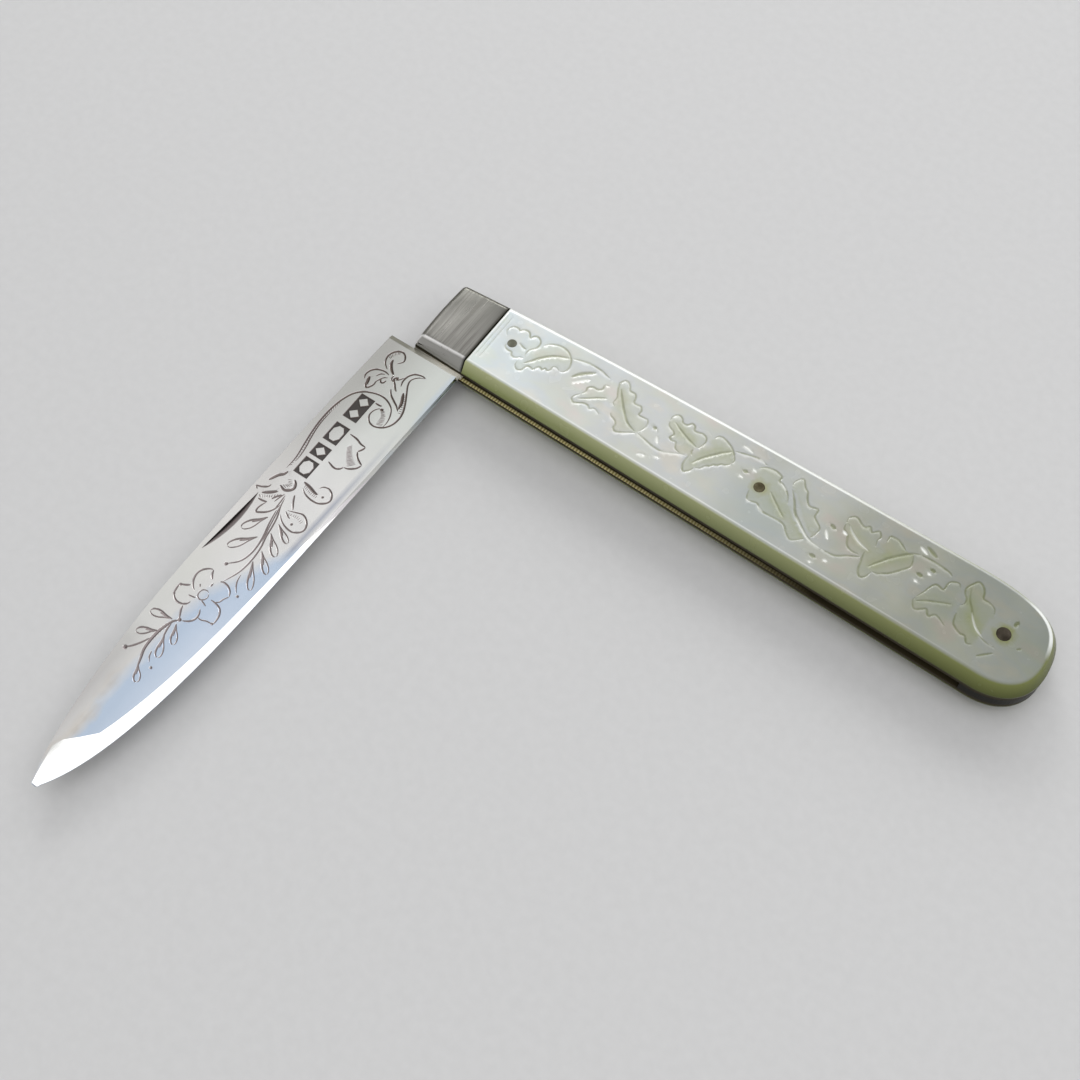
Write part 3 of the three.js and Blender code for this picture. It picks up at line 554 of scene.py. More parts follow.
# Meshes
def merged_copy(node, flat_angle=FLAT_DEGREES):
    """A node's mesh in millimetres, with its split vertices joined and its flat faces whole."""
    mesh = bmesh.new()
    data = nodes[node].data
    verts = [mesh.verts.new(vert.co / MM) for vert in data.vertices]
    for polygon in data.polygons:
        mesh.faces.new([verts[index] for index in polygon.vertices])
    bmesh.ops.remove_doubles(mesh, verts=mesh.verts, dist=JOIN_WITHIN)
    bmesh.ops.dissolve_limit(mesh, angle_limit=math.radians(flat_angle), verts=mesh.verts, edges=mesh.edges)
    return mesh


def rounded(mesh, width_of):
    """The mesh with its edges rounded by the width that width_of gives for each, in millimetres."""
    weights = mesh.edges.layers.float.new("bevel_weight_edge")
    widths = {edge: width_of(edge) for edge in mesh.edges}
    widest = max(widths.values())
    for edge, width in widths.items():
        edge[weights] = width / widest
    data = bpy.data.meshes.new("rounding")
    mesh.to_mesh(data)
    mesh.free()
    carrier = bpy.data.objects.new("rounding", data)
    bpy.context.scene.collection.objects.link(carrier)
    bevel = carrier.modifiers.new("round", "BEVEL")
    bevel.limit_method = "WEIGHT"
    bevel.width = widest
    bevel.segments = ROUND_STEPS
    bevel.use_clamp_overlap = False
    bevel.loop_slide = False
    done = carrier.evaluated_get(bpy.context.evaluated_depsgraph_get())
    result = bmesh.new()
    result.from_mesh(done.to_mesh())
    done.to_mesh_clear()
    bpy.data.objects.remove(carrier)
    bpy.data.meshes.remove(data)
    return result


def sharp(edge):
    return len(edge.link_faces) == 2 and edge.calc_face_angle() > math.radians(SHARP_DEGREES)


def faces_in_plane(mesh, level, lie):
    """The faces that lie in the plane through level with the normal lie."""
    alike = [face for face in mesh.faces if face.normal @ lie > SAME_LIE]
    return [face for face in alike if abs((face.calc_center_median() - level) @ lie) < SAME_LEVEL]


def rim_of(faces):
    """The edges that only one of the faces has."""
    chosen = set(faces)
    return [edge for face in faces for edge in face.edges if sum(f in chosen for f in edge.link_faces) == 1]


def inside_rim(points, rim):
    """Which points lie inside the closed lines of the rim, holes left out."""
    inside = np.zeros(len(points), bool)
    for start, end in rim:
        spans = (start[1] > points[:, 1]) != (end[1] > points[:, 1])
        rise = end[1] - start[1]
        if rise:
            crossing = start[0] + (points[:, 1] - start[1]) * (end[0] - start[0]) / rise
            inside ^= spans & (points[:, 0] < crossing)
    return inside


def recut(mesh, flat_faces, lines, loose_points, depth, to_plan, from_plan):
    """Replaces flat faces by triangles that follow the lines, sunk by depth, which is kept as a layer."""
    sunk = mesh.verts.layers.float.new("sunk")
    rim_edges = rim_of(flat_faces)
    rim_verts = list({vert: None for edge in rim_edges for vert in edge.verts})
    bmesh.ops.delete(mesh, geom=flat_faces, context="FACES")
    place = {vert: index for index, vert in enumerate(rim_verts)}
    points = [to_plan(vert.co) for vert in rim_verts]
    edges = [tuple(place[vert] for vert in edge.verts) for edge in rim_edges]
    rim = [(points[a], points[b]) for a, b in edges]
    for line in lines:
        first = len(points)
        points.extend(line)
        edges.extend((first + step, first + step + 1) for step in range(len(line) - 1))
    points.extend(loose_points)
    vectors = [Vector((float(x), float(y))) for x, y in points]
    found, _, triangles, sources, _, _ = delaunay_2d_cdt(vectors, edges, [], 0, PLAN_SLACK)
    plan = np.array([tuple(vector) for vector in found])
    verts = []
    for point, origin in zip(plan, sources):
        old = [rim_verts[index] for index in origin if index < len(rim_verts)]
        if old:
            verts.append(old[0])
            continue
        deep = depth(point)
        vert = mesh.verts.new(from_plan(point, deep))
        vert[sunk] = deep
        verts.append(vert)
    centres = np.array([plan[list(triangle)].mean(axis=0) for triangle in triangles])
    for triangle, kept in zip(triangles, inside_rim(centres, rim)):
        if kept:
            mesh.faces.new([verts[index] for index in triangle])
    bmesh.ops.recalc_face_normals(mesh, faces=mesh.faces)
    return sunk


def grid_points(low, high, spacing):
    xs = np.arange(low[0], high[0], spacing)
    ys = np.arange(low[1], high[1], spacing)
    return [np.array((x, y)) for x in xs for y in ys]


def piece_from(mesh, name, body, material, stands_for, sharp_degrees):
    """An object in the frame from a mesh in millimetres."""
    bmesh.ops.scale(mesh, vec=(MM,) * 3, verts=mesh.verts)
    data = bpy.data.meshes.new(name)
    mesh.to_mesh(data)
    mesh.free()
    data.shade_smooth()
    data.set_sharp_from_angle(angle=math.radians(sharp_degrees))
    piece = bpy.data.objects.new(name, data)
    bpy.context.scene.collection.objects.link(piece)
    data.materials.append(material)
    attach(piece, body)
    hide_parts(*stands_for)
    return piece


def add_layer(mesh, name, value_of):
    """A value for each vertex, for the material to read."""
    layer = mesh.verts.layers.float.new(name)
    for vert in mesh.verts:
        vert[layer] = value_of(vert)


def mark_faces(data, name, value_of):
    """A value for each face, from its normal, for the material to read."""
    layer = data.attributes.new(name, "FLOAT", "FACE")
    layer.data.foreach_set("value", [value_of(polygon.normal) for polygon in data.polygons])


def mirrored(mesh):
    """The same mesh turned over about the middle of the knife's thickness."""
    other = mesh.copy()
    for vert in other.verts:
        vert.co.z = 2 * middle_height - vert.co.z
    bmesh.ops.reverse_faces(other, faces=other.faces)
    return other


# Materials
class Value:
    """One value in a node tree, for use in sums."""

    def __init__(self, tree, socket):
        self.tree = tree
        self.socket = socket

    def compute(self, operation, first, second):
        return self.tree.value("ShaderNodeMath", 0, {0: first, 1: second}, {"operation": operation})

    def __add__(self, other):
        return self.compute("ADD", self, other)

    def __sub__(self, other):
        return self.compute("SUBTRACT", self, other)

    def __rsub__(self, other):
        return self.compute("SUBTRACT", other, self)

    def __mul__(self, other):
        return self.compute("MULTIPLY", self, other)

    def __pow__(self, other):
        return self.compute("POWER", self, other)

    def __abs__(self):
        return self.compute("ABSOLUTE", self, 0.0)

    def greater(self, other):
        return self.compute("MAXIMUM", self, other)

    def axis(self, name):
        return self.tree.value("ShaderNodeSeparateXYZ", name, {"Vector": self})

    def span(self, low, high, to_low=0.0, to_high=1.0, shape="LINEAR"):
        """The value carried from one range to another, and held at both ends."""
        inputs = {"Value": self, "From Min": low, "From Max": high, "To Min": to_low, "To Max": to_high}
        return self.tree.value("ShaderNodeMapRange", "Result", inputs, {"interpolation_type": shape})


class Tree:
    """The nodes of a material or of the world."""

    def __init__(self, owner):
        owner.use_nodes = True
        self.tree = owner.node_tree
        self.tree.nodes.clear()

    def add(self, kind, inputs=None, settings=None):
        """A node with its settings, and its inputs set to numbers or linked to values."""
        made = self.tree.nodes.new(kind)
        for name, value in (settings or {}).items():
            setattr(made, name, value)
        for name, value in (inputs or {}).items():
            socket = made.inputs[name]
            if isinstance(value, Value):
                self.tree.links.new(value.socket, socket)
            elif socket.type == "RGBA":
                socket.default_value = (*value, 1)
            else:
                socket.default_value = value
        return made

    def value(self, kind, output, inputs=None, settings=None):
        return Value(self, self.add(kind, inputs, settings).outputs[output])

    def millimetres(self, stretch=(1, 1, 1), turn=0.0):
        """The object's own coordinates in millimetres, stretched by axis and turned about the vertical."""
        place = self.value("ShaderNodeTexCoord", "Object")
        inputs = {"Vector": place, "Scale": tuple(share / MM for share in stretch), "Rotation": (0, 0, turn)}
        return self.value("ShaderNodeMapping", "Vector", inputs)

    def noise(self, vector, scale, detail):
        return self.value("ShaderNodeTexNoise", "Fac", {"Vector": vector, "Scale": scale, "Detail": detail})

    def blend(self, factor, first, second, mode="MIX"):
        settings = {"data_type": "RGBA", "blend_type": mode}
        return self.value("ShaderNodeMix", 2, {0: factor, 6: first, 7: second}, settings)

    def layers(self, color, covers):
        """A colour with others laid over it, each by its own share."""
        for share, cover in covers:
            color = self.blend(share, color, cover)
        return color

    def attribute(self, name):
        return self.value("ShaderNodeAttribute", "Fac", None, {"attribute_name": name})

    def vectors(self, operation, first, second):
        return self.value("ShaderNodeVectorMath", "Value", {0: first, 1: second}, {"operation": operation})

    def ramp(self, factor, stops):
        """Colours at the given places of the factor."""
        made = self.add("ShaderNodeValToRGB", {"Fac": factor})
        elements = made.color_ramp.elements
        for place, _ in stops[2:]:
            elements.new(place)
        for element, (place, color) in zip(elements, stops):
            element.position = place
            element.color = (*color, 1)
        return Value(self, made.outputs["Color"])

    def bump(self, height, strength, distance):
        inputs = {"Height": height, "Strength": strength, "Distance": distance * MM}
        return self.value("ShaderNodeBump", "Normal", inputs)

    def surface(self, inputs):
        shader = self.value("ShaderNodeBsdfPrincipled", 0, inputs)
        self.add("ShaderNodeOutputMaterial", {"Surface": shader})


def new_material(name):
    material = bpy.data.materials.new(name)
    return material, Tree(material)


# The part of a noise's range that is used.
NARROW_NOISE = (0.35, 0.65)
WIDE_NOISE = (0.3, 0.7)

# The blade's silver. A span is a pair of distances from the pivot and a band a pair of offsets towards the
# edge, from where a tone starts to where it is full. A share is how much of a tone shows where it is full.
WARM_SILVER = (0.86, 0.85, 0.825)
CLOUDED_SILVER = (0.80, 0.795, 0.78)
DULL_SPAN = (27.0, 12.0)
DULL_SILVER = (0.715, 0.74, 0.695)

# Painted shade beside the spine: its tone by distance, and where it begins: two distances and the two offsets
# there.
SPINE_REACH = 70.0
SPINE_SHADES = [
    (8, (0.46, 0.453, 0.424)), (18, (0.54, 0.533, 0.505)), (27, (0.7, 0.685, 0.66)), (36, (0.84, 0.82, 0.79)),
    (44, (0.785, 0.785, 0.74)), (52, (0.76, 0.76, 0.73)), (55, (0.63, 0.622, 0.6)), (61, (0.6, 0.585, 0.572)),
]
SPINE_BEGINS = (12.0, 24.0, 1.5, -3.0)
SPINE_FULL = -6.0
SPINE_SHARE = 0.9

# A painted reflection of cool light on the edge side, behind a curved and ragged border, and lighter near the
# edge.
COOL_SPAN = (33.5, 64.0)
COOL_OFFSETS = (-4.2, 3.4)
COOL_CURVE = 3.0
COOL_RAGGED = 0.8
COOL_BAND = (-0.5, 1.2)
COOL_SHARE = 0.8
COOL_REFLECTION = (0.52, 0.65, 0.83)
LIGHT_SPAN = (41.0, 50.0)
LIGHT_BAND = (-2.0, 0.8)
LIGHT_REFLECTION = (0.655, 0.765, 0.93)

# A soft grey line of painted shade beside the edge bevel: two distances and the two offsets there, and half
# its width.
SHADE_LINE_PATH = (20.0, 37.0, 2.5, 1.95)
SHADE_LINE_HALF = 0.6
SHADE_LINE_RISES = (14.0, 28.0)
SHADE_LINE_FADES = (38.0, 35.0)
SHADE_LINE_SHARE = 0.7
SHADE_LINE_SILVER = (0.34, 0.37, 0.46)

# The brown stain along the border of the painted cool reflection, and the shoulder's chamfer: dull, dark at
# the spine side, with painted light making it pale towards the edge side.
STAIN_NOISE = (0.4, 0.6)
STAIN_SPAN = (54.0, 63.0)
STAIN_HALF = 1.3
STAIN_SHARE = 0.5
STAINED_SILVER = (0.56, 0.46, 0.34)
SHOULDER_ENDS = 4.25
SHOULDER_SOFT = 0.1
SHOULDER_BAND = (-4.5, 1.0)
SHOULDER_DARK = (0.095, 0.092, 0.062)
SHOULDER_LIT = (0.70, 0.68, 0.61)

# The ground bevel, with painted shade at the spine side of the point and towards the shoulder.
GROUND_SILVER = (0.93, 0.93, 0.92)
POINT_BAND = (-3.3, -4.3)
POINT_SHADE = (0.62, 0.62, 0.60)
BEVEL_SPAN = (36.0, 22.0)
BEVEL_SHADE = (0.62, 0.58, 0.60)

# The cuts, paler towards the tip where they are more worn, the blackened floors of the panels, the black of
# the nick, which is tarnish and painted dark reflection, and how rough the silver is where it is polished,
# and in the cuts and on the shoulder.
CUT_FADE = (14.0, 42.0)
CUT_NEAR = (0.10, 0.075, 0.06)
CUT_FAR = (0.26, 0.22, 0.22)
CUT_FULL = 0.35
CUT_SHARE = 0.94
BLACK_PATINA = (1.1, 1.9)
BLACK_CUT = (0.022, 0.017, 0.016)
POLISH = (0.09, 0.14)
WORN_ROUGHNESS = 0.5


def polished_silver():
    """Old polished silver: painted warm shade at the spine, a painted cool reflection at the edge, stained
    near the tip and dark in the cuts.
    """
    material, tree = new_material("polished_silver")
    place = tree.millimetres()
    distance = pivot.y - place.axis("Y")
    offset = place.axis("X") - pivot.x
    cloud = tree.noise(place, scale=0.14, detail=4)
    # The silver beside the spine is painted darker, as shade.
    spine_stops = [(along / SPINE_REACH, tone) for along, tone in SPINE_SHADES]
    spine_shade = tree.ramp(distance.span(0.0, SPINE_REACH), spine_stops)
    toward_spine = offset.span(distance.span(*SPINE_BEGINS), SPINE_FULL, 0.0, SPINE_SHARE)
    # The cool side is a painted reflection, lighter near the edge.
    border = (distance.span(*COOL_SPAN, 1.0, 0.0) ** COOL_CURVE).span(0.0, 1.0, *COOL_OFFSETS)
    ragged = offset - border + cloud.span(*WIDE_NOISE, -COOL_RAGGED, COOL_RAGGED)
    lighter = distance.span(*LIGHT_SPAN) * offset.span(*LIGHT_BAND)
    # A soft line of painted shade beside the edge bevel.
    from_shade_line = abs(offset - distance.span(*SHADE_LINE_PATH))
    along_shade_line = distance.span(*SHADE_LINE_RISES) * distance.span(*SHADE_LINE_FADES)
    blotches = tree.noise(tree.millimetres((1, 0.35, 1)), scale=0.5, detail=4).span(*STAIN_NOISE)
    stain = blotches * distance.span(*STAIN_SPAN) * abs(ragged).span(STAIN_HALF, 0.0)
    # The shoulder's chamfer is dull and not metallic: dark at the spine side, with painted light towards the
    # edge side.
    on_shoulder = distance.span(SHOULDER_ENDS + SHOULDER_SOFT, SHOULDER_ENDS)
    # Painted shade on the ground bevel at the spine side of the point and towards the shoulder.
    at_point = tree.blend(offset.span(*POINT_BAND), GROUND_SILVER, POINT_SHADE)
    patina_and_shade = tree.attribute("patina_and_shade")
    dark = patina_and_shade.span(0.0, CUT_FULL, 0.0, CUT_SHARE)
    cut_tone = tree.blend(distance.span(*CUT_FADE), CUT_NEAR, CUT_FAR)
    color = tree.layers(tree.blend(cloud.span(*NARROW_NOISE), WARM_SILVER, CLOUDED_SILVER), [
        (distance.span(*DULL_SPAN), DULL_SILVER),
        (toward_spine, spine_shade),
        (ragged.span(*COOL_BAND) * COOL_SHARE, tree.blend(lighter, COOL_REFLECTION, LIGHT_REFLECTION)),
        (from_shade_line.span(SHADE_LINE_HALF, 0.0) * along_shade_line * SHADE_LINE_SHARE, SHADE_LINE_SILVER),
        (stain * STAIN_SHARE, STAINED_SILVER),
        (on_shoulder, tree.blend(offset.span(*SHOULDER_BAND), SHOULDER_DARK, SHOULDER_LIT)),
        (tree.attribute("ground"), tree.blend(distance.span(*BEVEL_SPAN), at_point, BEVEL_SHADE)),
        (dark, tree.blend(patina_and_shade.span(*BLACK_PATINA), cut_tone, BLACK_CUT)),
    ])
    haze = tree.noise(place, scale=0.9, detail=5).span(*WIDE_NOISE, *POLISH)
    scratches = tree.noise(tree.millimetres((7, 0.35, 7)), scale=1.0, detail=4)
    tree.surface({
        "Base Color": color,
        "Metallic": 1.0 - on_shoulder,
        "Roughness": haze.greater(dark.greater(on_shoulder) * WORN_ROUGHNESS),
        "Normal": tree.bump(scratches, strength=0.05, distance=0.02),
    })
    return material


# The bolsters' silver: on the flat, the painted shade on its far side, in the file's strokes, the painted
# shade on faces that lean to the far side, the painted light on those that lean to the near side, the painted
# highlight on the ridge between flat and near bevel, and the grime in the seam.
FILED_SILVERS = [(0.17, 0.166, 0.152), (0.252, 0.246, 0.227)]
FAR_BAND = (-2.0, 4.0)
FAR_SHARE = 0.75
FAR_SHADE = (0.085, 0.085, 0.076)
STROKE_NOISE = (0.5, 0.66)
STROKE_SHARE = 0.7
STROKE_SILVER = (0.105, 0.10, 0.09)
AWAY_LEAN = (0.12, 0.6)
AWAY_SHARE = 0.8
AWAY_SHADE = (0.11, 0.105, 0.08)
NEAR_LEAN = (0.15, 0.6)
NEAR_LIGHT = (0.475, 0.468, 0.445)
RIDGE_RISES = (0.08, 0.3)
RIDGE_FADES = (0.7, 0.45)
RIDGE_HIGHLIGHT = (0.96, 0.95, 0.93)
SEAM_GRIME = (0.45, 0.1)
SEAM_SILVER = (0.05, 0.047, 0.04)
FILED_ROUGHNESS = (0.27, 0.42)


def brushed_silver():
    """Silver filed across its width: painted shade on its far side and far and front edges, painted light on
    the near bevel, a painted highlight on its ridge, and grime in the seam.
    """
    material, tree = new_material("brushed_silver")
    place = tree.millimetres()
    strokes = tree.noise(tree.millimetres((5, 0.12, 5)), scale=1.0, detail=5)
    broad = tree.noise(tree.millimetres((1.2, 0.05, 1.2)), scale=1.0, detail=3)
    near = tree.attribute("near")
    # Painted shade on the far side and on faces that lean away, painted light on the near bevel, a painted
    # highlight on its ridge.
    color = tree.layers(tree.blend(broad.span(*NARROW_NOISE), *FILED_SILVERS), [
        (place.axis("Y").span(*FAR_BAND, 0.0, FAR_SHARE), FAR_SHADE),
        (strokes.span(*STROKE_NOISE, 0.0, STROKE_SHARE), STROKE_SILVER),
        (tree.attribute("away").span(*AWAY_LEAN, 0.0, AWAY_SHARE), AWAY_SHADE),
        (near.span(*NEAR_LEAN), NEAR_LIGHT),
        (near.span(*RIDGE_RISES) * near.span(*RIDGE_FADES), RIDGE_HIGHLIGHT),
        (place.axis("X").span(*(seam_x - inward for inward in SEAM_GRIME)), SEAM_SILVER),
    ])
    tree.surface({
        "Base Color": color,
        "Metallic": 1.0,
        "Roughness": strokes.span(*WIDE_NOISE, *FILED_ROUGHNESS),
        "Normal": tree.bump(strokes, strength=0.35, distance=0.03),
    })
    return material


# The pearl from the bolster to the butt, its lustre, and the cool patch on it: centre and reach.
PEARL_BODY = [
    (0.0, (0.632, 0.664, 0.65)), (0.25, (0.546, 0.537, 0.508)), (0.55, (0.407, 0.40, 0.365)),
    (0.8, (0.285, 0.282, 0.24)), (1.0, (0.214, 0.224, 0.19)),
]
PEARL_LUSTRE = [
    (0.3, (1.0, 0.93, 0.9)), (0.42, (0.9, 0.96, 0.9)), (0.55, (0.86, 0.93, 1.0)), (0.68, (1.0, 0.98, 0.92)),
]
PEARL_WANDER = 0.4
LUSTRE_TURN = 0.6
LUSTRE_SHARE = 0.65
PATCH_CENTRE = (6.0, -2.8, 0.0)
PATCH_REACH = (7.5, 2.0)
PATCH_SHARE = 0.55
PATCH_PEARL = (0.29, 0.33, 0.325)

# The bloom round the centre pin and the end pin.
PIN_STAINS = [(0.27, 0.27, 0.12), (0.17, 0.18, 0.05)]
PIN_STAIN_REACH = 0.75
PIN_STAIN_SHIFT = 0.12
PIN_STAIN_RAGGED = 0.3
PIN_STAIN_SHARE = 0.7

# The olive sides, partly painted reflection, with painted shade darkening them towards their foot: at their
# foot and at the top, first by the bolster and then at the butt.
SCALE_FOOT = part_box("upper_liner")[1].z / MM - middle_height
OLIVE_DROP = 0.27
OLIVE_SHADED_FRONT = [(0.195, 0.23, 0.058), (0.45, 0.47, 0.25)]
OLIVE_SHADED_BUTT = [(0.05, 0.06, 0.006), (0.17, 0.19, 0.055)]

# Leaves and grooves, by the bolster and at the butt, and the painted highlights on the rims and in the
# glints.
LEAF_MOTTLE = (0.5, 1.0)
LEAF_PEARLS = [(0.38, 0.40, 0.24), (0.17, 0.19, 0.08)]
GROOVE_FULL = 0.8
GROOVE_SHARE = 0.75
GROOVE_NOISE = (0.35, 0.6)
GROOVE_WEAR = (0.5, 1.0)
GROOVE_PEARLS = [(0.27, 0.28, 0.20), (0.10, 0.115, 0.045)]
RIM_HIGHLIGHT_SHARE = 0.8
RIM_HIGHLIGHT = (0.84, 0.86, 0.84)
GLINT_SHARE = 0.9
GLINT_HIGHLIGHT = (0.86, 0.87, 0.85)
PEARL_ROUGHNESS = (0.2, 0.28)
GLOSS_SPAN = (0.55, 0.85)
GLOSS_SPECULAR = (0.5, 0.25)
GLOSS_COAT = (0.3, 0.06)


def stain_round_pins(tree, color):
    """The green bloom that the centre pin and the end pin have left in the pearl round them."""
    flat = tree.millimetres((1, 1, 0))
    for (x, y), radius, tint in zip(pin_places[1:], pin_radii[1:], PIN_STAINS):
        away = tree.vectors("DISTANCE", flat, (x + PIN_STAIN_SHIFT, y, 0))
        uneven = tree.noise(flat, scale=0.8, detail=2).span(*WIDE_NOISE, -PIN_STAIN_RAGGED, PIN_STAIN_RAGGED)
        share = (away + uneven).span(radius + PIN_STAIN_REACH, radius, 0.0, PIN_STAIN_SHARE)
        color = tree.blend(share, color, tint)
    return color


def pearl_shell():
    """Mother of pearl: pale and cool at the bolster, greener towards the butt, olive down the sides with
    painted shade at their foot, and with painted highlights.
    """
    material, tree = new_material("pearl_shell")
    place = tree.millimetres()
    along = place.axis("X").span(seam_x, handle_high.x)
    wander = (tree.noise(place, scale=0.11, detail=4) - 0.5) * PEARL_WANDER
    body = tree.ramp(along + wander, PEARL_BODY)
    sheen = tree.noise(tree.millimetres((0.5, 1, 1), LUSTRE_TURN), scale=0.3, detail=3)
    nacre = tree.blend(LUSTRE_SHARE, body, tree.ramp(sheen, PEARL_LUSTRE), "MULTIPLY")
    from_patch = tree.vectors("DISTANCE", tree.millimetres((1, 1, 0)), PATCH_CENTRE)
    mottle = tree.noise(place, scale=0.7, detail=3).span(*WIDE_NOISE, *LEAF_MOTTLE)
    leafy = tree.layers(nacre, [
        (from_patch.span(*PATCH_REACH, 0.0, PATCH_SHARE), PATCH_PEARL),
        (tree.attribute("leaf") * mottle, tree.blend(along, *LEAF_PEARLS)),
    ])
    rise = abs(place.axis("Z") - middle_height)
    top = flat_height - middle_height
    up = rise.span(SCALE_FOOT, top)
    # The olive is partly painted reflection, darker towards the foot as painted shade.
    olive = tree.blend(along, tree.blend(up, *OLIVE_SHADED_FRONT), tree.blend(up, *OLIVE_SHADED_BUTT))
    worn = tree.noise(place, scale=0.9, detail=3).span(*GROOVE_NOISE, *GROOVE_WEAR)
    grooves = tree.attribute("carving").span(0.0, GROOVE_FULL, 0.0, GROOVE_SHARE) * worn
    color = tree.layers(stain_round_pins(tree, leafy), [
        (rise.span(top, top - OLIVE_DROP, shape="SMOOTHSTEP"), olive),
        (tree.attribute("rim") * RIM_HIGHLIGHT_SHARE, RIM_HIGHLIGHT),
        (grooves, tree.blend(along, *GROOVE_PEARLS)),
        (tree.attribute("glint").span(0.0, 1.0, 0.0, GLINT_SHARE), GLINT_HIGHLIGHT),
    ])
    grain = tree.noise(tree.millimetres((0.25, 1.0, 1.0)), scale=0.8, detail=1)
    tree.surface({
        "Base Color": color,
        "Roughness": tree.noise(place, scale=0.5, detail=1).span(*WIDE_NOISE, *PEARL_ROUGHNESS),
        "Normal": tree.bump(grain, strength=0.03, distance=0.03),
        "IOR": 1.55,
        "Specular IOR Level": along.span(*GLOSS_SPAN, *GLOSS_SPECULAR),
        "Coat Weight": along.span(*GLOSS_SPAN, *GLOSS_COAT),
        "Coat Roughness": 0.12,
    })
    return material


# Aged metals: how much rougher their grain can be, where tarnish shows, and which upright faces get painted
# shade.
GRAIN_ROUGHNESS = 0.15
TARNISH_NOISE = (0.38, 0.66)
UPRIGHT_SHADE_FACES = (0.3, 0.7)


def finish_metal(tree, color, roughness, bare):
    """The grain and the shader of an aged metal, metallic by the given share where it is not darkened."""
    fine = tree.noise(tree.millimetres(), scale=6.0, detail=4)
    tree.surface({
        "Base Color": color,
        "Metallic": bare,
        "Roughness": fine.span(*WIDE_NOISE, roughness, roughness + GRAIN_ROUGHNESS),
        "Normal": tree.bump(fine, strength=0.2, distance=0.01),
        "Specular IOR Level": 0.1,
    })


def aged_metal(name, light, dark, roughness, painted_shade):
    """A plain old metal with blotches of tarnish, and painted shade on its upright faces."""
    material, tree = new_material(name)
    blotches = tree.noise(tree.millimetres(), scale=0.8, detail=5).span(*TARNISH_NOISE)
    upright_shade = tree.attribute("upright_shade").span(*UPRIGHT_SHADE_FACES)
    color = tree.blend(upright_shade, tree.blend(blotches, light, dark), painted_shade)
    finish_metal(tree, color, roughness, upright_shade.span(0.0, 1.0, 1.0, 0.0))
    return material


# The liners' brass: its two tones, the dark colour, and how far in from the slot's near edge the darkening
# starts and is full. That edge is y = mouth_start + mouth_slope x. The same dark colour is the painted shade
# on upright faces.
MILLED_BRASS = [(0.42, 0.35, 0.12), (0.95, 0.86, 0.47)]
SLOT_DARK = (0.035, 0.028, 0.014)
SLOT_DEPTHS = (0.34, 0.51)
BUTT_DARK_SPAN = (-15.0, 16.0)
BRASS_BARE = 0.35
BRASS_ROUGHNESS = 0.42
FRONT_REACH = 0.5
liner_points = [vert.co / MM for vert in nodes["lower_liner"].data.vertices]
front_points = [point for point in liner_points if point.x < handle_low.x + FRONT_REACH]
front_corner = min(front_points, key=lambda point: point.y)
low_corner = min(liner_points, key=lambda point: point.y)
mouth_slope = (low_corner.y - front_corner.y) / (low_corner.x - front_corner.x)
mouth_start = front_corner.y - mouth_slope * front_corner.x


def slot_brass():
    """Brass that is bright only at the mouth of the blade slot, darker inside it and towards the butt, with
    painted shade on its upright faces.
    """
    material, tree = new_material("slot_brass")
    place = tree.millimetres()
    wave = {"Vector": place, "Scale": 0.75, "Distortion": 2.0, "Detail": 2.0}
    bright = tree.blend(tree.value("ShaderNodeTexWave", "Fac", wave), *MILLED_BRASS)
    inward = tree.vectors("DOT_PRODUCT", place, (-mouth_slope, 1, 0))
    deep = inward.span(*(mouth_start + depth for depth in SLOT_DEPTHS))
    hidden = deep.greater(place.axis("X").span(*BUTT_DARK_SPAN))
    # Darker deep in the slot and towards the butt, and painted shade on upright faces.
    darkened = hidden.greater(tree.attribute("upright_shade").span(*UPRIGHT_SHADE_FACES))
    bare = darkened.span(0.0, 1.0, BRASS_BARE, 0.0)
    finish_metal(tree, tree.blend(darkened, bright, SLOT_DARK), BRASS_ROUGHNESS, bare)
    return material


# Spring and pins: tones and roughness, and the painted shade on their upright faces.
SPRING_TONES = [(0.52, 0.51, 0.48), (0.33, 0.32, 0.29)]
SPRING_ROUGHNESS = 0.3
SPRING_SHADE = (0.01, 0.009, 0.006)
PIN_ROUGHNESS = 0.45
PIN_SHADE = (0.03, 0.027, 0.02)

silver = polished_silver()
filed_silver = brushed_silver()
pearl = pearl_shell()
brass = slot_brass()
spring_steel = aged_metal("spring_metal", *SPRING_TONES, SPRING_ROUGHNESS, SPRING_SHADE)
front_grey, centre_brown, end_dark = (
    aged_metal(f"{name}_pin_metal", light, dark, PIN_ROUGHNESS, PIN_SHADE) for name, light, dark in (
        ("front", (0.16, 0.16, 0.125), (0.08, 0.08, 0.06)),
        ("centre", (0.13, 0.115, 0.07), (0.05, 0.042, 0.022)),
        ("end", (0.065, 0.055, 0.042), (0.03, 0.025, 0.018)),
    )
)


# Blade

# The nail nick and the inner border of the edge bevel, by distance and offset, and how a ground face leans.
NICK_SPAN = (31.0, 42.0)
NICK_EDGE = -5.9
NICK_DEPTHS = (0.01, 0.5)
PATINA_FULL = 0.07
BLACKENED = 2.0
NARROW_SPAN = (SHOULDER_ENDS - 1, 45.0)
BEVEL_OFFSETS = (1.8, 3.3)
BEVEL_HEIGHT = 0.25
BEVEL_NARROWING = 0.42
GROUND_LEAN = 0.05
GROUND_RISE = 0.7
UPWARD = 0.99
VEE_SHARES = (-1, 0, 1)


def between(value, limits):
    return limits[0] < value < limits[1]


def blade_plan(place):
    """Distance from the pivot and offset towards the edge."""
    return np.array((pivot.y - place.y, place.x - pivot.x))


def engraved_cuts():
    cuts = [cut(points, width, GRAVER_STEP) for width, points in ENGRAVED_LINES]
    for leaf in ENGRAVED_LEAVES:
        cuts.extend(spray_leaf(*leaf))
    for shade in ENGRAVED_SHADES:
        cuts.extend(shade_strokes(*shade))
    return cuts


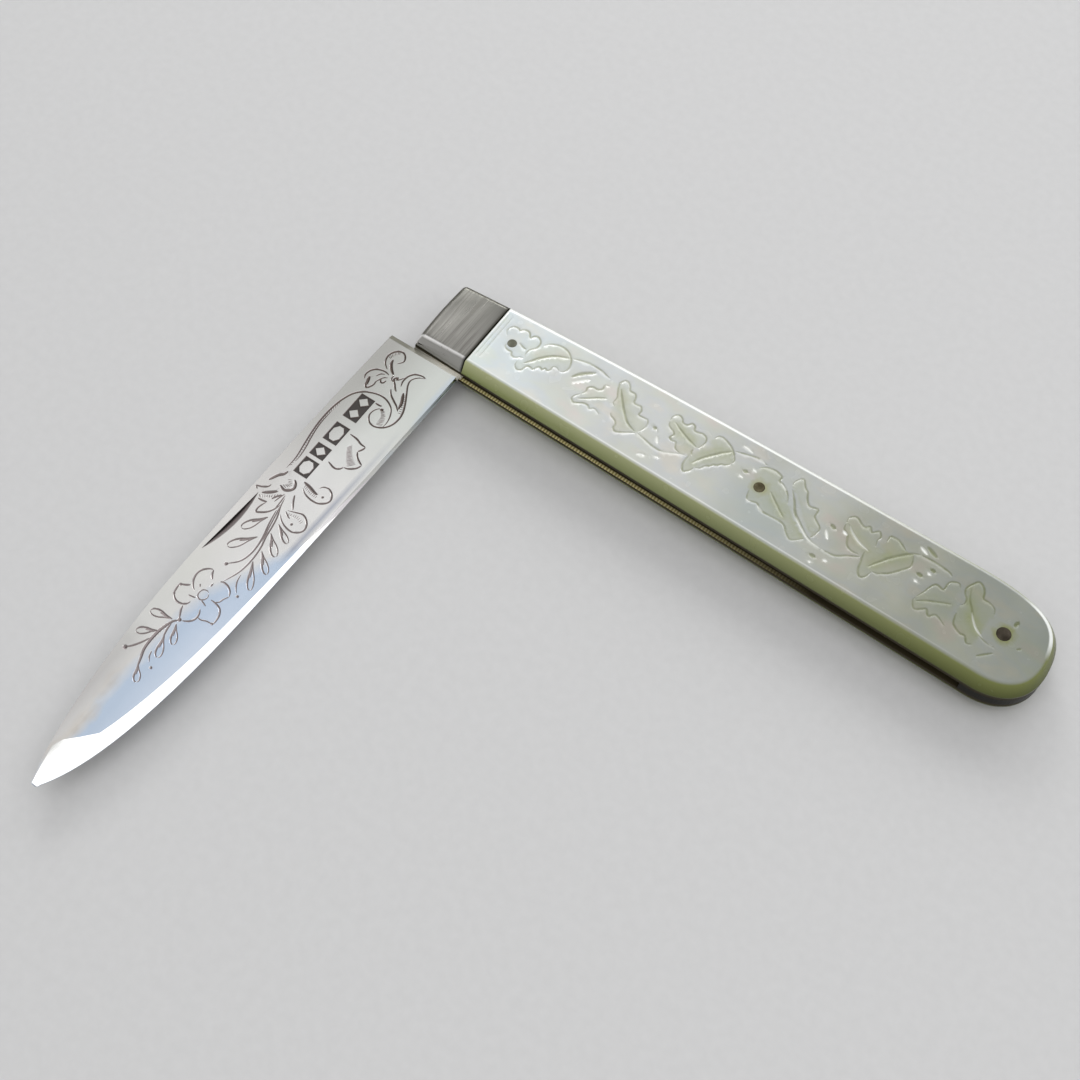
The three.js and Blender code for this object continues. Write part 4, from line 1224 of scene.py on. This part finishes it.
def circle(centre, radius):
    angles = np.linspace(0, 2 * math.pi, DOT_SIDES + 1)
    return np.array(centre) + radius * np.stack([np.cos(angles), np.sin(angles)], axis=1)


def narrow_bevel(mesh):
    """Lets the edge bevel start as a thin line at the shoulder, both faces alike."""
    for vert in mesh.verts:
        distance, offset = blade_plan(vert.co)
        on_border = between(offset, BEVEL_OFFSETS) and abs(vert.co.z - middle_height) > BEVEL_HEIGHT
        if on_border and between(distance, NARROW_SPAN):
            vert.co.x += BEVEL_NARROWING * (1 - distance / NARROW_SPAN[1])


def build_blade():
    """The blade with its engraving, its punched panels and the dark nail nick."""
    mesh = merged_copy("blade")
    narrow_bevel(mesh)
    top = max((face for face in mesh.faces if face.normal.z > UPWARD), key=lambda face: face.calc_area())
    level, lie = top.calc_center_median(), top.normal.copy()

    def from_plan(point, depth):
        x, y = pivot.x + point[1], pivot.y - point[0]
        z = level.z - ((x - level.x) * lie.x + (y - level.y) * lie.y) / lie.z
        return (x, y, z - depth)

    punches = PunchField()
    cuts = engraved_cuts()
    field = CutField(cuts + [dot(*place) for place in ENGRAVED_DOTS], GRAVER_DEPTH, vee)
    lines = cut_lines(cuts, VEE_SHARES) + [circle(*place) for place in ENGRAVED_DOTS]
    lines = [run for line in lines for run in runs(line, lambda point: not punches.holds(point))]
    lines += [np.vstack([loop, loop[:1]]) for loop in punches.loops()]

    def depth(point):
        return punches.depth(point) if punches.holds(point) else field.depth(point)

    loose = [np.array(centre) for centre, _ in ENGRAVED_DOTS]
    sunk = recut(mesh, faces_in_plane(mesh, level, lie), lines, loose, depth, blade_plan, from_plan)

    # The black of the nick is tarnish and painted dark reflection; the cuts and panel floors are tarnish.
    def patina_and_shade(vert):
        point = blade_plan(vert.co)
        below = from_plan(point, 0)[2] - vert.co.z
        in_nick = between(point[0], NICK_SPAN) and point[1] < NICK_EDGE and between(below, NICK_DEPTHS)
        on_floor = punches.holds(point) and vert[sunk] > PUNCH_DEPTH / 2
        return BLACKENED if in_nick or on_floor else min(vert[sunk] / PATINA_FULL, 1.0)

    add_layer(mesh, "patina_and_shade", patina_and_shade)
    blade = piece_from(mesh, "engraved_blade", "blade", silver, ["blade"], sharp_degrees=3)

    def ground(normal):
        return 1.0 if normal.x - normal.y > GROUND_LEAN and abs(normal.z) > GROUND_RISE else 0.0

    mark_faces(blade.data, "ground", ground)


# Scales

# Edges near a pin, or that reach this far below the flat, stay sharp. The carving stays clear of the pins.
PIN_NEAR = 1.2
ROUNDED_DOWN_TO = 1.9
PIN_CLEAR = 0.12
FLAT_SPACING = 0.45
SCOOP_SHARES = (-1, -0.5, 0, 0.5, 1)

# The painted highlight on the rim lies below the flat by this much, and ends where the pearl leans over by
# these shares.
FLAT_SLACK = 0.005
NEAR_HIGHLIGHT_ENDS = 0.08
NEAR_HIGHLIGHT_ALONG = [(-10.0, 1.0), (15.0, 0.0)]
FAR_HIGHLIGHT_ENDS = 0.3
FAR_HIGHLIGHT_ALONG = [(6.0, 1.0), (22.0, 0.35), (36.5, 0.25), (39.0, 1.0)]
FAR_HIGHLIGHT_ACROSS = [(0.0, 0.0), (2.0, 1.0)]
GLEAM_SHARE = 0.55

# How green a leaf is away from its rib, as a share of the green at the rib.
LEAF_BASE = 0.45


def carver_cuts(lines, half_width):
    return [cut(points, half_width, CARVER_STEP) for points in lines]


def carved_cuts():
    """The dark cuts of the oak spray, the dark gouges of painted shade, and the two lines along the seam."""
    cuts = []
    for _, rib_width, rib, outline in OAK_LEAVES:
        cuts += carver_cuts([rib], rib_width) + carver_cuts(outline, CARVER_LINE)
    cuts += carver_cuts(OAK_STEMS, CARVER_LINE) + carver_cuts(OAK_SHADED_GOUGES, CARVER_SHADED_GOUGE)
    seam_lines = [[(seam_x + inward, side) for side in SEAM_LINE_SIDES] for inward in SEAM_LINES]
    return cuts + carver_cuts(seam_lines, FINE)


def leaf_green(points):
    """How green the pearl is at each point, by the leaf that it lies in."""
    green = np.zeros(len(points))
    for share, _, _, outline in OAK_LEAVES:
        corners = np.vstack([spline(stroke, CARVER_STEP) for stroke in outline])
        green[inside_rim(points, list(zip(corners, np.roll(corners, -1, axis=0))))] = share
    return green


def reaches_low(ends):
    return min(end.z for end in ends) < flat_height - ROUNDED_DOWN_TO


def scale_edge_width(edge):
    """How far an edge of the upper scale is rounded."""
    ends = [vert.co for vert in edge.verts]
    near_pin = any(all(math.hypot(end.x - x, end.y - y) < PIN_NEAR for end in ends) for x, y in pin_places)
    if not sharp(edge) or near_pin or reaches_low(ends):
        return 0.0
    on_flat = all(end.z > flat_height - SAME_LEVEL for end in ends)
    return SCALE_RIM if on_flat else SCALE_LAND


def clear_of_pins(point):
    pins = zip(pin_places, pin_radii)
    return min(math.hypot(point[0] - x, point[1] - y) - radius for (x, y), radius in pins) > PIN_CLEAR


def along_table(value, table):
    return float(np.interp(value, *zip(*table)))


def build_scales():
    """Both pearl scales, carved with the same running spray of oak leaves."""
    mesh = rounded(merged_copy("upper_scale"), scale_edge_width)
    flat_faces = faces_in_plane(mesh, Vector((0, 0, flat_height)), Vector((0, 0, 1)))
    glint_cuts = carver_cuts(OAK_GLINTS, CARVER_GOUGE)
    glints = CutField(glint_cuts, 1 / CARVER_GOUGE, scoop)
    gleams = CutField(carver_cuts(OAK_GLEAMS, CARVER_GLEAM), GLEAM_SHARE / CARVER_GLEAM, scoop)
    ribs = CutField(carver_cuts([rib for _, _, rib, _ in OAK_LEAVES], RIB_SHADE), 1 / RIB_SHADE, scoop)
    cuts = carved_cuts() + glint_cuts
    field = CutField(cuts, CARVER_DEPTH, scoop)
    lines = [run for line in cut_lines(cuts, SCOOP_SHARES) for run in runs(line, clear_of_pins)]
    low, high = (np.array((corner.x, corner.y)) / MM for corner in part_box("upper_scale"))
    rim = [tuple((vert.co.x, vert.co.y) for vert in edge.verts) for edge in rim_of(flat_faces)]
    spread = [point for point in grid_points(low, high, FLAT_SPACING) if not field.near(point)]
    loose = [point for point, kept in zip(spread, inside_rim(np.array(spread), rim)) if kept]
    sunk = recut(
        mesh, flat_faces, lines, loose,
        lambda point: field.depth(point) if clear_of_pins(point) else 0.0,
        lambda place: np.array((place.x, place.y)),
        lambda point, depth: (point[0], point[1], flat_height - depth),
    )
    mesh.verts.index_update()
    green = leaf_green(np.array([(vert.co.x, vert.co.y) for vert in mesh.verts]))
    deepest = CARVER_DEPTH * CARVER_LINE

    # Glints and gleams are painted highlights, white and cream.
    def glint(vert):
        return max(glints.depth(vert.co), gleams.depth(vert.co)) if vert[sunk] else 0.0

    # A painted highlight along the rounded rim of the flat, the layer named rim.
    def rim_highlight(vert):
        far = vert.normal.y > 0
        leans_over = 1 - abs(vert.normal.z) > (FAR_HIGHLIGHT_ENDS if far else NEAR_HIGHLIGHT_ENDS)
        if vert.co.z > flat_height - FLAT_SLACK or leans_over or vert[sunk]:
            return 0.0
        if far:
            return along_table(vert.co.x, FAR_HIGHLIGHT_ALONG) * along_table(vert.co.y, FAR_HIGHLIGHT_ACROSS)
        return along_table(vert.co.x, NEAR_HIGHLIGHT_ALONG)

    def leaf(vert):
        return green[vert.index] * (LEAF_BASE + (1 - LEAF_BASE) * ribs.depth(vert.co))

    add_layer(mesh, "glint", glint)
    add_layer(mesh, "carving", lambda vert: min(vert[sunk] / deepest, 1.0))
    add_layer(mesh, "rim", rim_highlight)
    add_layer(mesh, "leaf", leaf)
    for side, half in (("upper", mesh), ("lower", mirrored(mesh))):
        name, replaced = f"carved_{side}_scale", [f"{side}_scale"]
        piece_from(half, name, "handle", pearl, replaced, sharp_degrees=50)


# Bolsters and pins

# Edges this near the seam are only just broken. The pivot's bore and pin end below the filed faces.
SEAM_NEAR = 0.2
FILED_UP = 0.9
FILED_DROP = 0.6
BORE_REACH = 1.6
BORE_DEPTH = 0.35
PIVOT_DEPTH = 0.8
FACES_BACK = 0.5


def bolster_edge_width(edge):
    """How far an edge of the upper bolster is rounded."""
    ends = [vert.co for vert in edge.verts]
    if not sharp(edge):
        return 0.0
    if all(end.x > seam_x - SEAM_NEAR for end in ends):
        return BOLSTER_SEAM
    return 0.0 if reaches_low(ends) else BOLSTER_RIM


def round_pivot(vert):
    """The direction of a vertex as seen from the pivot."""
    return math.atan2(vert.co.y - pivot.y, vert.co.x - pivot.x)


def close_bore(mesh):
    """Ends the pivot's bore under the filed face, where the peened pin no longer shows."""
    lowest = flat_height - FILED_DROP
    filed = [face for face in mesh.faces if face.normal.z > FILED_UP and face.calc_center_median().z > lowest]
    rim = sorted({vert for face in filed for vert in face.verts}, key=round_pivot)
    bore = [vert for vert in rim if (vert.co.xy - pivot.xy).length < BORE_REACH]
    outside = [vert for vert in rim if vert not in bore]
    bmesh.ops.delete(mesh, geom=filed, context="FACES")
    mesh.faces.new(outside)
    for vert in bore:
        vert.co.z -= BORE_DEPTH
    mesh.faces.new(bore)
    bmesh.ops.recalc_face_normals(mesh, faces=mesh.faces)
    return mesh


def build_bolsters():
    """Both bolsters, with the lean of their faces for the filed silver to read."""
    mesh = rounded(close_bore(merged_copy("upper_bolster")), bolster_edge_width)
    # The lean of each vertex, for painted shade on faces that lean away and painted light on the near bevel.
    add_layer(mesh, "away", lambda vert: max(vert.normal.y, -vert.normal.x, 0.0))
    add_layer(mesh, "near", lambda vert: max(-vert.normal.y, 0.0))
    for side, half in (("upper", mesh), ("lower", mirrored(mesh))):
        name, replaced = f"filed_{side}_bolster", [f"{side}_bolster"]
        piece_from(half, name, "handle", filed_silver, replaced, sharp_degrees=40)


def build_pivot():
    """The pivot pin, ending under the bolsters' skins."""
    mesh = merged_copy("pivot_pin", flat_angle=0.1)
    tallest = max(vert.co.z for vert in mesh.verts) - middle_height
    share = (tallest - PIVOT_DEPTH) / tallest
    for vert in mesh.verts:
        vert.co.z = middle_height + share * (vert.co.z - middle_height)
    replaced = ["pivot_pin"]
    piece_from(mesh, "peened_pivot", "handle", filed_silver, replaced, sharp_degrees=40)


def upright_shade_of(normal):
    """Upright faces get painted shade, apart from those that face the back."""
    return 0.0 if normal.y > FACES_BACK else 1 - abs(normal.z)


build_blade()
build_scales()
build_bolsters()
build_pivot()

for material, names in (
    (brass, ["lower_liner", "upper_liner"]),
    (spring_steel, ["back_spring", "spring_pin"]),
    (end_dark, ["end_pin"]),
    (front_grey, ["upper_front_pin", "lower_front_pin"]),
    (centre_brown, ["upper_centre_pin", "lower_centre_pin"]),
):
    for name in names:
        data = nodes[name].data
        data.materials.clear()
        data.materials.append(material)
        mark_faces(data, "upright_shade", upright_shade_of)


# Stage
FLOOR_TONES = [(0.50, 0.50, 0.50), (0.52, 0.52, 0.52)]
FLOOR_REACH = 3.0
FLOOR_DROP = 0.00002

# The room's tones at the front and the back, between which directions they change, the pale horizon, and the
# heights of direction at which it starts to pass into the room and at which it has.
ROOM_TONES = [(0.365, 0.36, 0.357), (0.63, 0.635, 0.65)]
ROOM_BAND = (-0.7, 0.7)
HORIZON_TONE = (0.62, 0.62, 0.62)
HORIZON_BAND = (0.1, 0.25)

# Lamps: name, place, target, width, height and brightness.
SOFTBOXES = [
    ("overhead_softbox", (0.465, -0.08, 0.62), (0.465, -0.08, 0), 1.45, 0.65, 1.05),
    ("right_softbox", (0.7, 0.42, 0.62), (0.7, 0.42, 0), 0.7, 0.34, 0.7),
    ("side_panel", (-0.44, 0.17, 0.62), (-0.44, 0.17, 0), 0.34, 0.6, 0.27),
    ("back_softbox", (-0.25, 0.85, 0.5), (0, 0, 0), 1.3, 0.5, 2.3),
    ("window", (-0.62, 0.7, 0.5), (0, 0, 0), 0.35, 0.3, 6.0),
    ("front_softbox", (-0.2, -0.55, 0.62), (0, 0, 0), 0.5, 0.3, 1.2),
]


def build_floor():
    material, tree = new_material("pale_floor")
    grain = tree.noise(tree.millimetres(), scale=0.8, detail=3)
    tree.surface({"Base Color": tree.blend(grain.span(*WIDE_NOISE), *FLOOR_TONES), "Roughness": 0.7})
    data = bpy.data.meshes.new("floor")
    corners = rectangle((-FLOOR_REACH, -FLOOR_REACH), (FLOOR_REACH, FLOOR_REACH))
    data.from_pydata([(x, y, -FLOOR_DROP) for x, y in corners], [], [(0, 1, 2, 3)])
    data.materials.append(material)
    floor = bpy.data.objects.new("floor", data)
    bpy.context.scene.collection.objects.link(floor)


def build_world():
    """A soft room, brighter at the back, above a pale horizon that every ray sees alike."""
    world = bpy.data.worlds.new("room")
    bpy.context.scene.world = world
    tree = Tree(world)
    way = tree.value("ShaderNodeTexCoord", "Generated")
    room = tree.blend(way.axis("Y").span(*ROOM_BAND), *ROOM_TONES)
    shown = tree.blend(way.axis("Z").span(*HORIZON_BAND), HORIZON_TONE, room)
    light = tree.value("ShaderNodeBackground", 0, {"Color": shown, "Strength": 1.0})
    tree.add("ShaderNodeOutputWorld", {"Surface": light})


def aim(holder, place, target):
    """Puts a lamp or a camera into the scene, facing the target."""
    holder.location = place
    holder.rotation_euler = (Vector(target) - Vector(place)).to_track_quat("-Z", "Y").to_euler()
    bpy.context.scene.collection.objects.link(holder)


def build_camera():
    data = bpy.data.cameras.new("camera")
    data.lens = CAMERA_LENS
    data.sensor_width = CAMERA_SENSOR
    data.clip_start = CAMERA_NEAREST
    camera = bpy.data.objects.new("camera", data)
    aim(camera, CAMERA_PLACE, CAMERA_TARGET)
    bpy.context.scene.camera = camera


def softbox(name, place, target, width, height, radiance):
    """A rectangular lamp of the given brightness, facing the target."""
    lamp = bpy.data.lights.new(name, "AREA")
    lamp.shape = "RECTANGLE"
    lamp.size = width
    lamp.size_y = height
    lamp.energy = radiance * math.pi * width * height
    aim(bpy.data.objects.new(name, lamp), place, target)


build_floor()
build_world()
build_camera()
for lamp in SOFTBOXES:
    softbox(*lamp)
bpy.context.scene.view_settings.view_transform = "Standard"
